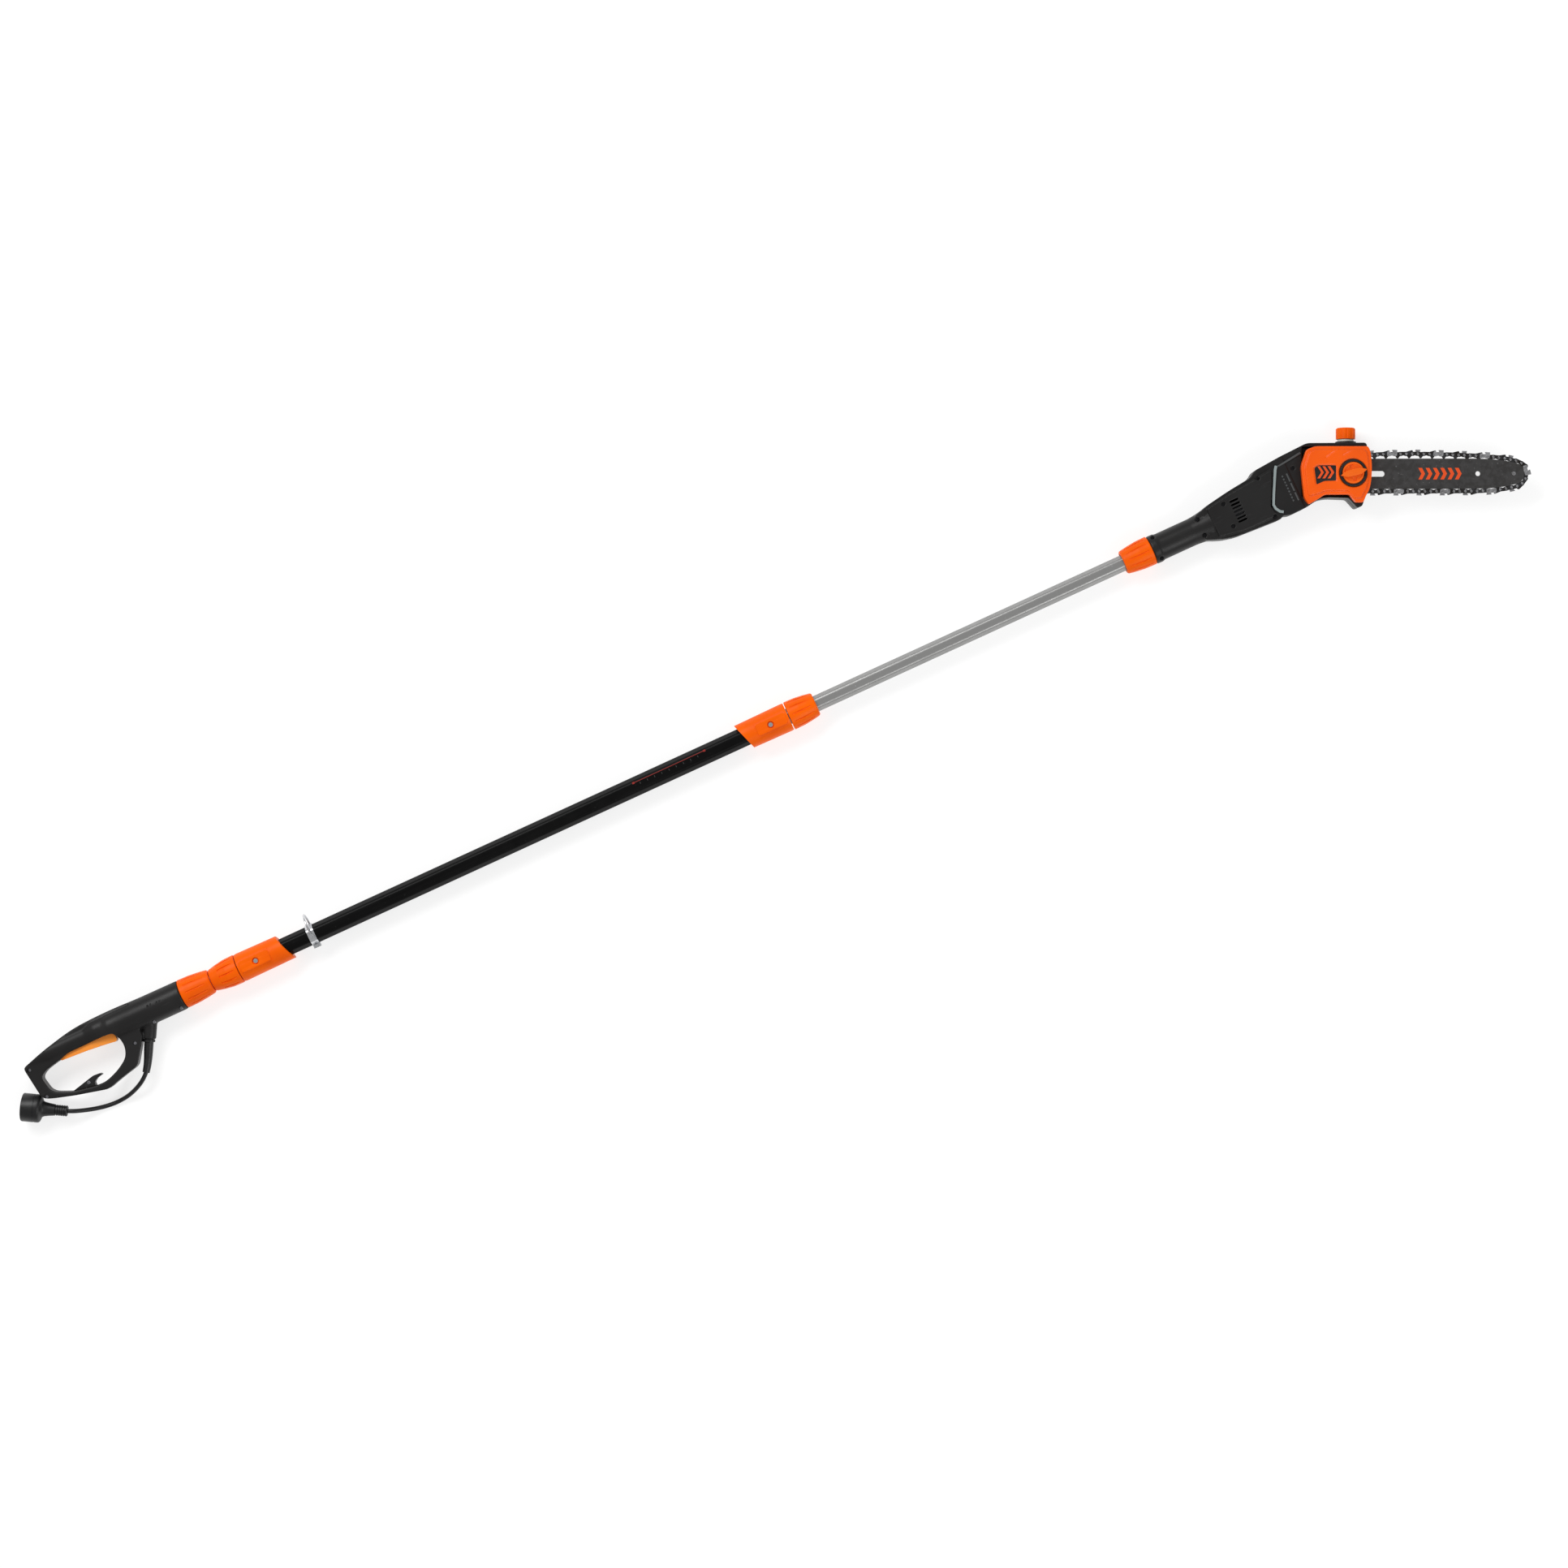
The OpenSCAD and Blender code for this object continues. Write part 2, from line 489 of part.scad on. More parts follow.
module motor_stator() color([0.45, 0.45, 0.5]) translate([0, shaft_y, 0]) {
    turned([[21.8, 1622], [26.4, 1622], [26.4, 1668], [21.8, 1668]]);
    for (s = [1, -1]) intersection() {
        turned([[22, 1612], [26, 1612], [26, 1622], [22, 1622]]);
        translate([1600, s > 0 ? 6 : -40, -40]) cube([40, 34, 80]);
    }
}
module armature() color([0.7, 0.6, 0.5]) translate([0, shaft_y, 0])
    turned([[0, 1586], [4, 1586], [4, 1604], [11, 1604], [11, 1618], [16, 1620], [21, 1624],
        [21, 1666], [14, 1671], [5, 1674], [4, 1676], [4, shaft_x - 16], [0, shaft_x - 16]]);
module cooling_fan() color([0.2, 0.2, 0.2]) translate([0, shaft_y, 0]) {
    turned([[4, 1680], [24, 1680], [24, 1682], [7, 1682], [7, 1692], [4, 1692]]);
    for (a = [0:30:330]) rotate([a, 0, 0]) translate([1682, 9, -0.8]) cube([9, 14, 1.6]);
}
gear_teeth = 33;
pinion_teeth = 9;
pinion_r = 6;
tooth_h = 1.2;
gear_mesh_r = gear_teeth / pinion_teeth * (pinion_r + tooth_h / 2);
module bevel_pinion() color([0.6, 0.6, 0.62]) translate([shaft_x - gear_mesh_r, shaft_y, 0]) {
    turned([[4, -5], [pinion_r, -5], [pinion_r, 5], [4, 5]]);
    for (i = [0:pinion_teeth - 1]) rotate([i * 360 / pinion_teeth, 0, 0])
        translate([-4, -0.7, -pinion_r - tooth_h]) cube([8, 1.4, tooth_h + 0.5]);
}
module bevel_gear() color([0.55, 0.55, 0.57]) translate([shaft_x, shaft_y, -pinion_r]) {
    difference() {
        translate([0, 0, -6.6]) cylinder(r = gear_mesh_r + 5, h = 5);
        translate([0, 0, -8]) cylinder(r = 5, h = 10);
    }
    for (i = [0:gear_teeth - 1]) rotate([0, 0, 180 + (i + 0.5) * 360 / gear_teeth])
        translate([gear_mesh_r - 4, -0.65, -1.8]) cube([8, 1.3, tooth_h]);
}
module motor_bearings() color("silver") translate([0, shaft_y, 0]) {
    turned([[4.05, 1588.5], [11, 1588.5], [11, 1596], [4.05, 1596]]);
    turned([[4.05, 1710], [11.9, 1710], [11.9, 1718], [4.05, 1718]]);
}
module carbon_brushes() color([0.25, 0.25, 0.26]) translate([0, shaft_y, 0]) for (s = [-1, 1])
    translate([1607, s > 0 ? 11.3 : -20.3, -3]) cube([8, 9, 6]);
module output_shaft() color("silver") rod(shaft_x, shaft_y, 5, -25, 22);
module shaft_bearings() color("silver") for (z = [[-25.6, -19.8], [1.2, 8.2]]) difference() {
    rod(shaft_x, shaft_y, 11, z[0], z[1]);
    rod(shaft_x, shaft_y, 5.04, z[0] - 1, z[1] + 1);
}
module drive_sprocket() color([0.5, 0.5, 0.52]) difference() {
    union() {
        rod(shaft_x, shaft_y, 9.8, bar_z - 4.2, bar_z + 4.2);
        for (s = [-1, 1]) rod(shaft_x, shaft_y, 14.2, bar_z + s * 2.9 - 1.2, bar_z + s * 2.9 + 1.2);
    }
    rod(shaft_x, shaft_y, 5, 0, 40);
}
module oil_tank() color([0.9, 0.9, 0.88]) in_bar_frame() difference() {
    union() {
        translate([-31.8, 33.2, -24.8]) cube([51.6, 13.6, 29.6]);
        translate([-5.4, 46, -9]) rotate([-90, 0, 0]) cylinder(r = 13.4, h = 12.6);
    }
    translate([-29.8, 35.2, -22.8]) cube([47.6, 9.6, 25.6]);
    translate([-5.4, 40, -9]) rotate([-90, 0, 0]) cylinder(r = 10.5, h = 30);
}
module oil_pump() color("dimgray") in_bar_frame() difference() {
    translate([-7.8, 6.2, -24.8]) cube([25.6, 19.6, 21.6]);
    translate([5, 16, -30]) cylinder(r = 3, h = 40);
}
module oil_cap() color([1, 0.4, 0.05]) in_bar_frame() translate([-5.4, 0, -9])
    rotate([-90, 0, 0]) difference() {
        translate([0, 0, 59.2]) rotate_extrude() polygon([[0, 0], [cap_r, 0], [cap_r, 16.6],
            [cap_r - 1.6, 18.4], [0, 18.4]]);
        for (a = [0:30:330]) rotate([0, 0, a]) translate([cap_r + 1.4, 0, 61])
            cylinder(r = 2.4, h = 20);
    }
module sprocket_cover() color([1, 0.4, 0.04]) in_bar_frame() difference() {
    union() {
        slab(cover_outline, 20.2, cover_top - 3);
        translate([-5, 0, 0]) slab([[-66, 34, 4], [-74, 11, 6], [-71, -20, 8], [-68, -38, 4],
            [-50, -33, 4], [-42, -29, 4], [-2, -29, 4], [8, -41, 3], [18, -41, 3], [28, -20, 6],
            [31.5, 5, 16], [28, 33, 3], [24, 38, 3], [-56, 38, 5]], cover_top - 3, cover_top);
    }
    translate([-2, 0, 0]) slab([[-70, 35, 5], [-79, 10, 6], [-76, -20, 8], [-73, -42, 3],
        [-52, -36, 4], [-44, -31.5, 4], [-3, -31.5, 2], [8, -43, 2], [16, -43, 2], [26, -24, 4],
        [30, 5, 8], [26, 40, 3], [-58, 40, 6]], 10, cover_top - 6);
    cylinder(r = 4.8, h = 80);
    // window left of the knob
    slab([[-65.5, 8.6, 2], [-58, 13.6, 3], [-27, 13.6, 2], [-27, -13.6, 2], [-47, -14, 3],
        [-61.5, -20.6, 2]], cover_top - 1.6, 60);
    // slanted grooves above and below the knob
    for (g = [[[-45, 24.6], [-29, 36.6]], [[-17.5, 27.6], [2, 39.6]]])
        translate([0, 0, cover_top - 1]) linear_extrude(4) polygon(ribbon(g, 2.2));
    // seat of the tension ring
    translate([0, 0, cover_top - 2]) cylinder(r = 23.4, h = 10);
}
module tension_ring() color([0.1, 0.1, 0.1]) in_bar_frame() difference() {
    translate([0, 0, cover_top - 1.9]) cylinder(r = 23, h = 4.4);
    translate([0, 0, cover_top - 3]) cylinder(r = 18.4, h = 10);
}
module lock_knob() color([1, 0.42, 0.06]) in_bar_frame() difference() {
    union() {
        rod(0, 0, 17.9, cover_top - 1.9, cover_top + 3.4);
        rotate([0, 0, 13.4]) slab([[-22.2, 0, 1], [-12, 5.6, 6], [12, 5.6, 6], [22.2, 0, 1],
            [12, -5.6, 6], [-12, -5.6, 6]], cover_top + 2.6, cover_top + 10);
    }
    translate([0, 0, cover_top - 3]) cylinder(r = 4.5, h = 8);
}
module bar_stud() color("silver") in_bar_frame() {
    cylinder(r = 4.4, h = cover_top + 4);
}

// ---- bar and chain ----
function bar_outline(drop) = concat(
    [for (p = bar_edge) [p[0], p[1] - drop]],
    [for (a = [nose_wrap:-12:-nose_wrap]) [nose_u + (nose_r - drop) * cos(a), (nose_r - drop) * sin(a)]],
    [for (i = [len(bar_edge) - 1:-1:0]) [bar_edge[i][0], drop - bar_edge[i][1]]]);
module guide_bar() color([0.22, 0.22, 0.23]) in_bar_frame() {
    difference() {
        translate([0, 0, bar_z - bar_thick / 2]) linear_extrude(bar_thick) polygon(bar_outline(0));
        // groove for the drive links
        translate([0, 0, bar_z - 0.8]) linear_extrude(1.6) difference() {
            polygon(bar_outline(-3));
            polygon(bar_outline(5.2));
        }
        // space of the nose sprocket
        rod(nose_u, 0, 15.5, bar_z - 0.8, bar_z + 0.8);
        rod(nose_u, 0, 3.5, 0, 30);
        // slot for the stud
        translate([-12, -4.7, 0]) cube([62, 9.4, 40]);
        rod(50, 0, 4.7, 0, 40);
        rod(-12, 0, 4.7, 0, 40);
        // through hole
        rod(207.8, 0, 4, 0, 40);
        // tail hole for the tension pin
        for (s = [-1, 1]) rod(-18, s * 10, 2.5, 0, 40);
    }
    rod(nose_u, 0, 3.5, bar_z - bar_thick / 2 - 0.3, bar_z + bar_thick / 2 + 0.3);
}
module nose_sprocket() color("silver") in_bar_frame() difference() {
    union() {
        rod(nose_u, 0, 10.6, bar_z - 0.65, bar_z + 0.65);
        for (i = [0:6]) translate([nose_u, 0, bar_z - 0.65]) rotate([0, 0, i * 360 / 7])
            linear_extrude(1.3) polygon([[9, -2.4], [13, -0.9], [13, 0.9], [9, 2.4]]);
    }
    rod(nose_u, 0, 3.56, 0, 30);
}
// The rivets' path, a closed line round the sprocket, along the slack run and round the nose
chain_path = concat(
    [for (a = [258:-12:102]) [drive_u + wrap_r * cos(a), wrap_r * sin(a)]],
    [[-28, 23.4], [-10, 27]],
    [for (p = slack) [p[0], lookup(p[0], bar_edge) + rivet_h + p[1]]],
    [for (a = [nose_wrap:-12:-nose_wrap])
        [nose_u + (nose_r + rivet_h) * cos(a), (nose_r + rivet_h) * sin(a)]],
    [for (i = [len(bar_edge) - 1:-1:3]) [bar_edge[i][0], -bar_edge[i][1] - rivet_h]],
    [[-8, -26.3]]);
path_steps = [for (i = [0:len(chain_path) - 1])
    norm(chain_path[(i + 1) % len(chain_path)] - chain_path[i])];
path_len = total(path_steps);
function on_path(s, i = 0) = s <= path_steps[i] || i == len(path_steps) - 1
    ? chain_path[i] + (s / path_steps[i]) * (chain_path[(i + 1) % len(chain_path)] - chain_path[i])
    : on_path(s - path_steps[i], i + 1);
rivets = [for (k = [0:2 * links - 1]) on_path((k + phase) * path_len / (2 * links))];
// Draws a link between rivet k and the next one
module link_at(k) {
    a = rivets[k % (2 * links)];
    b = rivets[(k + 1) % (2 * links)];
    in_bar_frame() translate([(a[0] + b[0]) / 2, (a[1] + b[1]) / 2, bar_z])
        rotate([0, 0, atan2(b[1] - a[1], b[0] - a[0])]) children();
}
module rivet_holes() for (s = [-1, 1]) translate([s * half_pitch, 0]) circle(r = 2.1, $fn = 16);
module tie_shape() difference() {
    polygon([[-8.2, 1.6], [-6.6, 3.5], [6.6, 3.5], [8.2, 1.6], [8.2, -1.6], [6.6, -3.3],
        [2.6, -3.3], [1.2, -2.4], [-1.2, -2.4], [-2.6, -3.3], [-6.6, -3.3], [-8.2, -1.6]]);
    rivet_holes();
}
module drive_shape(bumper) difference() {
    polygon(concat([[-7.6, -3], [-3.4, -3.8], [-1.6, -7.2], [1, -7.2], [3.4, -3.8], [7.6, -3], [8, 0]],
        bumper ? [[6.4, 3], [5.6, 6], [4, 6.2], [-3, 4.2], [-7, 3]] : [[7, 3.2], [-7, 3.2]], [[-8, 0]]));
    rivet_holes();
}
module cutter_shape() difference() {
    polygon([[-8, -2.4], [-7, -3.3], [-2.6, -3.3], [0, -2.4], [2.6, -3.3], [7, -3.3], [8.2, -2.4],
        [8.8, 6.7], [0.6, 6.9], [1.4, 3], [-1.2, 2.2], [-3.4, 3.4], [-4.2, 5.2], [-6.6, 5], [-8, 2]]);
    rivet_holes();
}
// Every fourth side pair has a cutter, near and far in turn, with drive links between
function cutter_side(i) = i % 4 == 0 ? 1 : i % 4 == 2 ? -1 : 0;
module chain_drive_links() color([0.3, 0.3, 0.31]) for (i = [0:links - 1]) link_at(2 * i)
    translate([0, 0, -strap_z]) linear_extrude(2 * strap_z)
    drive_shape(cutter_side(i) != 0);
module chain_cutters() color([0.72, 0.72, 0.73]) for (i = [0:links - 1]) if (cutter_side(i) != 0)
    link_at(2 * i + 1) mirror([0, 0, cutter_side(i) > 0 ? 0 : 1]) {
        translate([0, 0, strap_z]) linear_extrude(strap_t) cutter_shape();
        translate([0.6, 5.7, -1.9]) cube([8.2, 1.1, strap_z + 1.9]);
    }
module chain_ties() color([0.35, 0.35, 0.36]) for (i = [0:links - 1], s = [-1, 1])
    if (cutter_side(i) != s) link_at(2 * i + 1)
        translate([0, 0, s > 0 ? strap_z : -strap_z - strap_t]) linear_extrude(strap_t) tie_shape();
module chain_rivets() color([0.6, 0.6, 0.6]) in_bar_frame() for (p = rivets)
    translate([p[0], p[1], bar_z - strap_z - strap_t]) cylinder(r = 1.85, h = 2 * (strap_z + strap_t), $fn = 16);

place() handle_shell_near();
place() handle_shell_far();
place() handle_screws();
place() trigger();
place() trigger_pin();
place() trigger_spring();
place() lock_off_button();
place() lock_off_spring();
place() power_switch();
place() cord_boot();
place() cord_clamp();
place() cord_hook();
place() power_cord();
place() plug_body();
place() plug_blades();
place() handle_tube();
place() handle_nut();
place() lower_lock_nut();
place() lower_collet();
place() lower_sleeve();
place() sleeve_screws();
place() outer_tube();
place() upper_sleeve();
place() upper_collet();
place() upper_lock_nut();
place() inner_tube();
place() slide_bush();
place() coiled_lead();
place() strap_clamp();
place() clamp_bolt();
place() strap_ring();
place() head_nut();
place() head_spigot();
place() head_shell_near();
place() head_shell_far();
place() head_screws();
place() accent_strip();
place() motor_stator();
place() armature();
place() cooling_fan();
place() bevel_pinion();
place() motor_bearings();
place() carbon_brushes();
place() bevel_gear();
place() output_shaft();
place() shaft_bearings();
place() drive_sprocket();
place() oil_tank();
place() oil_pump();
place() oil_cap();
place() sprocket_cover();
place() lock_knob();
place() tension_ring();
place() bar_stud();
place() guide_bar();
place() nose_sprocket();
place() chain_drive_links();
place() chain_cutters();
place() chain_ties();
place() chain_rivets();
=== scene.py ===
import math

import bpy
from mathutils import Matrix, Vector


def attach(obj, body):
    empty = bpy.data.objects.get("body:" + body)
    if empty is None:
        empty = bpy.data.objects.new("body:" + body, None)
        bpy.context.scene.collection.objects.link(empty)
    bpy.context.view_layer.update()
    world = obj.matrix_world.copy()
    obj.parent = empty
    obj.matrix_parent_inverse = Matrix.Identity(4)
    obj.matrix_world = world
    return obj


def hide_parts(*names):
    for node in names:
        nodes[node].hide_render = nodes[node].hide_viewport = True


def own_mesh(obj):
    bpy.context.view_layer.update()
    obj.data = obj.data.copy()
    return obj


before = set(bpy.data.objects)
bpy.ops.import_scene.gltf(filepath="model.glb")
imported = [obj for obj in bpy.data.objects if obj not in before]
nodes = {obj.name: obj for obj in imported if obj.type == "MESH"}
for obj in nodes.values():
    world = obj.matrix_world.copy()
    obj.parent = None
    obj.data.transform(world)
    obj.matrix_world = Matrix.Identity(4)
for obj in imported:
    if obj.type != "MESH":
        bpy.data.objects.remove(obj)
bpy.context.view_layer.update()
print("frame loaded with", len(nodes), "parts")

# The pole's own axes and the guide bar's, in millimetres, as the drawings have them
saw = {"centreX": 786.0, "centreY": -53.0, "floorZ": -29.0, "barX": 1846.95, "barY": -23.55, "barTurn": -24.5}


def spot(x, y, z=0.0):
    return ((x - saw["centreX"]) / 1000, (y - saw["centreY"]) / 1000, (z - saw["floorZ"]) / 1000)


def barSpot(u, v, z=0.0):
    turn = math.radians(saw["barTurn"])
    x = saw["barX"] + u * math.cos(turn) - v * math.sin(turn)
    y = saw["barY"] + u * math.sin(turn) + v * math.cos(turn)
    return spot(x, y, z)


# Camera, light and floor
studio = {
    "middle": spot(787.4, -98.2), "height": 6.0, "fieldWidth": 2.583, "fieldLevel": 0.03, "poleRises": 24.63,
    "sensor": 36, "floorColour": (0.4, 0.4, 0.4, 1), "floorGlow": 0.7, "floorSize": 14, "worldStrength": 0.4,
    "lights": {
        "keyLight": dict(place=(-0.9, 2.9, 3.2), aim=(0, 0, 0), size=(3.4, 1.6), watts=118),
        "fillLight": dict(place=(1.4, -2.7, 3.0), aim=(0.1, 0, 0), size=(3.2, 1.8), watts=58),
    },
}


def setUpCamera():
    bpy.ops.object.camera_add(
        location=(studio["middle"][0], studio["middle"][1], studio["height"]),
        rotation=(0, 0, -math.radians(studio["poleRises"])))
    camera = bpy.context.active_object
    camera.name = "mainCamera"
    camera.data.sensor_width = studio["sensor"]
    camera.data.lens = studio["sensor"] * (studio["height"] - studio["fieldLevel"]) / studio["fieldWidth"]
    camera.data.clip_end = 50
    bpy.context.scene.camera = camera


def addLight(name, place, aim, size, watts):
    bpy.ops.object.light_add(type="AREA", location=place)
    light = bpy.context.active_object
    light.name = name
    light.data.shape = "RECTANGLE"
    light.data.size = size[0]
    light.data.size_y = size[1]
    light.data.energy = watts
    light.rotation_mode = "QUATERNION"
    light.rotation_quaternion = (Vector(aim) - Vector(place)).to_track_quat("-Z", "Y")


def setUpStudio():
    for name, light in studio["lights"].items():
        addLight(name, **light)
    world = bpy.data.worlds.new("paleRoom")
    bpy.context.scene.world = world
    world.use_nodes = True
    sky = world.node_tree.nodes["Background"]
    sky.inputs["Color"].default_value = (1, 1, 1, 1)
    sky.inputs["Strength"].default_value = studio["worldStrength"]
    # the floor lies half a millimetre under the saw
    bpy.ops.mesh.primitive_plane_add(size=studio["floorSize"], location=(0, 0, -0.0005))
    floor = bpy.context.active_object
    floor.name = "studioFloor"
    paper = bpy.data.materials.new("palePaper")
    paper.use_nodes = True
    shader = paper.node_tree.nodes["Principled BSDF"]
    shader.inputs["Base Color"].default_value = studio["floorColour"]
    shader.inputs["Roughness"].default_value = 0.9
    shader.inputs["Emission Color"].default_value = (1, 1, 1, 1)
    shader.inputs["Emission Strength"].default_value = studio["floorGlow"]
    floor.data.materials.append(paper)
    bpy.context.scene.view_settings.view_transform = "Standard"


bpy.ops.object.select_all(action="DESELECT")
setUpCamera()
setUpStudio()
print("studio is set")


# Surface effects, shared by the finishes
def newGroup(name, inputs, outputs):
    group = bpy.data.node_groups.new(name, "ShaderNodeTree")
    for label, kind, value in inputs:
        socket = group.interface.new_socket(name=label, in_out="INPUT", socket_type=kind)
        socket.default_value = value
    for label, kind in outputs:
        group.interface.new_socket(name=label, in_out="OUTPUT", socket_type=kind)
    return group, group.nodes.new("NodeGroupInput"), group.nodes.new("NodeGroupOutput")


def addNode(tree, kind, **settings):
    node = tree.nodes.new(kind)
    for key, value in settings.items():
        setattr(node, key, value)
    return node


def noiseAt(tree, vector, scale, detail=2.0):
    noise = addNode(tree, "ShaderNodeTexNoise")
    noise.inputs["Scale"].default_value = scale
    noise.inputs["Detail"].default_value = detail
    tree.links.new(vector, noise.inputs["Vector"])
    return noise


def remapped(tree, value, low, high, outLow, outHigh):
    remap = addNode(tree, "ShaderNodeMapRange")
    tree.links.new(value, remap.inputs["Value"])
    remap.inputs["From Min"].default_value = low
    remap.inputs["From Max"].default_value = high
    for label, wanted in (("To Min", outLow), ("To Max", outHigh)):
        if isinstance(wanted, (int, float)):
            remap.inputs[label].default_value = wanted
        else:
            tree.links.new(wanted, remap.inputs[label])
    return remap.outputs["Result"]


def blended(tree, share, first, second):
    mix = addNode(tree, "ShaderNodeMix", data_type="RGBA")
    tree.links.new(share, mix.inputs[0])
    tree.links.new(first, mix.inputs[6])
    tree.links.new(second, mix.inputs[7])
    return mix.outputs[2]


def calculated(tree, operation, first, second):
    maths = addNode(tree, "ShaderNodeMath", operation=operation)
    for index, value in enumerate((first, second)):
        if isinstance(value, (int, float)):
            maths.inputs[index].default_value = value
        else:
            tree.links.new(value, maths.inputs[index])
    return maths.outputs[0]


def stretchedPlace(tree, stretch):
    place = addNode(tree, "ShaderNodeTexCoord").outputs["Object"]
    scale = addNode(tree, "ShaderNodeVectorMath", operation="MULTIPLY")
    tree.links.new(place, scale.inputs[0])
    if isinstance(stretch, tuple):
        scale.inputs[1].default_value = stretch
    else:
        tree.links.new(stretch, scale.inputs[1])
    return scale.outputs[0]


surfaceInputs = [
    ("Colour", "NodeSocketColor", (0.5, 0.5, 0.5, 1)), ("Shade", "NodeSocketColor", (0.4, 0.4, 0.4, 1)),
    ("Scuff", "NodeSocketColor", (0.6, 0.6, 0.6, 1)), ("Scuffing", "NodeSocketFloat", 0.2),
    ("Grain Size", "NodeSocketFloat", 1500.0), ("Smoothest", "NodeSocketFloat", 0.3),
    ("Roughest", "NodeSocketFloat", 0.5),
]
surfaceOutputs = [("Colour", "NodeSocketColor"), ("Roughness", "NodeSocketFloat"),
                  ("Height", "NodeSocketFloat")]


def buildMouldedSkin():
    # spark-eroded mould grain, faint flow marks, and fine handling scuffs
    group, start, end = newGroup("mouldedSkin", surfaceInputs, surfaceOutputs)
    place = stretchedPlace(group, (1.0, 1.0, 1.0))
    grain = noiseAt(group, place, 1500.0, 1.0)
    group.links.new(start.outputs["Grain Size"], grain.inputs["Scale"])
    pores = addNode(group, "ShaderNodeTexVoronoi", feature="SMOOTH_F1")
    group.links.new(place, pores.inputs["Vector"])
    group.links.new(start.outputs["Grain Size"], pores.inputs["Scale"])
    flow = noiseAt(group, place, 14.0, 4.0)
    scratches = noiseAt(group, stretchedPlace(group, (45.0, 900.0, 600.0)), 1.0, 3.0)
    patches = noiseAt(group, place, 30.0, 2.0)
    marks = calculated(group, "MULTIPLY", remapped(group, scratches.outputs["Fac"], 0.6, 0.72, 0.0, 1.0),
                       remapped(group, patches.outputs["Fac"], 0.45, 0.65, 0.0, 1.0))
    marks = calculated(group, "MULTIPLY", marks, start.outputs["Scuffing"])
    colour = blended(group, remapped(group, flow.outputs["Fac"], 0.35, 0.65, 0.0, 1.0),
                     start.outputs["Colour"], start.outputs["Shade"])
    colour = blended(group, marks, colour, start.outputs["Scuff"])
    rough = remapped(group, flow.outputs["Fac"], 0.3, 0.7, start.outputs["Smoothest"],
                     start.outputs["Roughest"])
    rough = calculated(group, "ADD", rough, calculated(group, "MULTIPLY", marks, 0.2))
    height = calculated(group, "ADD", grain.outputs["Fac"], pores.outputs["Distance"])
    height = calculated(group, "SUBTRACT", height, calculated(group, "MULTIPLY", marks, 0.6))
    group.links.new(colour, end.inputs["Colour"])
    group.links.new(rough, end.inputs["Roughness"])
    group.links.new(height, end.inputs["Height"])


def buildDrawnMetal():
    # long drawing lines, a cloudy finish under them, and small nicks
    inputs = surfaceInputs + [("Stretch", "NodeSocketVector", (3.0, 900.0, 900.0))]
    group, start, end = newGroup("drawnMetal", inputs, surfaceOutputs)
    lines = noiseAt(group, stretchedPlace(group, start.outputs["Stretch"]), 1.0, 3.0)
    place = stretchedPlace(group, (1.0, 1.0, 1.0))
    cloud = noiseAt(group, place, 40.0, 4.0)
    grain = noiseAt(group, place, 1500.0, 1.0)
    group.links.new(start.outputs["Grain Size"], grain.inputs["Scale"])
    nicks = remapped(group, noiseAt(group, place, 260.0, 2.0).outputs["Fac"], 0.68, 0.76, 0.0, 1.0)
    nicks = calculated(group, "MULTIPLY", nicks, start.outputs["Scuffing"])
    share = calculated(group, "MULTIPLY", remapped(group, lines.outputs["Fac"], 0.3, 0.7, 0.2, 1.0),
                       remapped(group, cloud.outputs["Fac"], 0.3, 0.7, 0.3, 1.0))
    colour = blended(group, share, start.outputs["Colour"], start.outputs["Shade"])
    colour = blended(group, nicks, colour, start.outputs["Scuff"])
    rough = remapped(group, share, 0.1, 0.9, start.outputs["Smoothest"], start.outputs["Roughest"])
    height = calculated(group, "ADD", lines.outputs["Fac"],
                        calculated(group, "MULTIPLY", grain.outputs["Fac"], 0.4))
    height = calculated(group, "SUBTRACT", height, nicks)
    group.links.new(colour, end.inputs["Colour"])
    group.links.new(rough, end.inputs["Roughness"])
    group.links.new(height, end.inputs["Height"])


def buildOilFilm():
    # thin bar oil that has crept and dried in patches
    group, start, end = newGroup(
        "oilFilm",
        [("Colour", "NodeSocketColor", (0.5, 0.5, 0.5, 1)), ("Oil", "NodeSocketColor", (0.05, 0.04, 0.03, 1)),
         ("Amount", "NodeSocketFloat", 0.4), ("Roughness", "NodeSocketFloat", 0.4)],
        [("Colour", "NodeSocketColor"), ("Roughness", "NodeSocketFloat")])
    patch = noiseAt(group, stretchedPlace(group, (1.0, 1.0, 1.0)), 120.0, 4.0)
    share = calculated(group, "MULTIPLY", remapped(group, patch.outputs["Fac"], 0.42, 0.6, 0.0, 1.0),
                       start.outputs["Amount"])
    colour = blended(group, share, start.outputs["Colour"], start.outputs["Oil"])
    rough = calculated(group, "SUBTRACT", start.outputs["Roughness"],
                       calculated(group, "MULTIPLY", share, 0.18))
    group.links.new(colour, end.inputs["Colour"])
    group.links.new(rough, end.inputs["Roughness"])


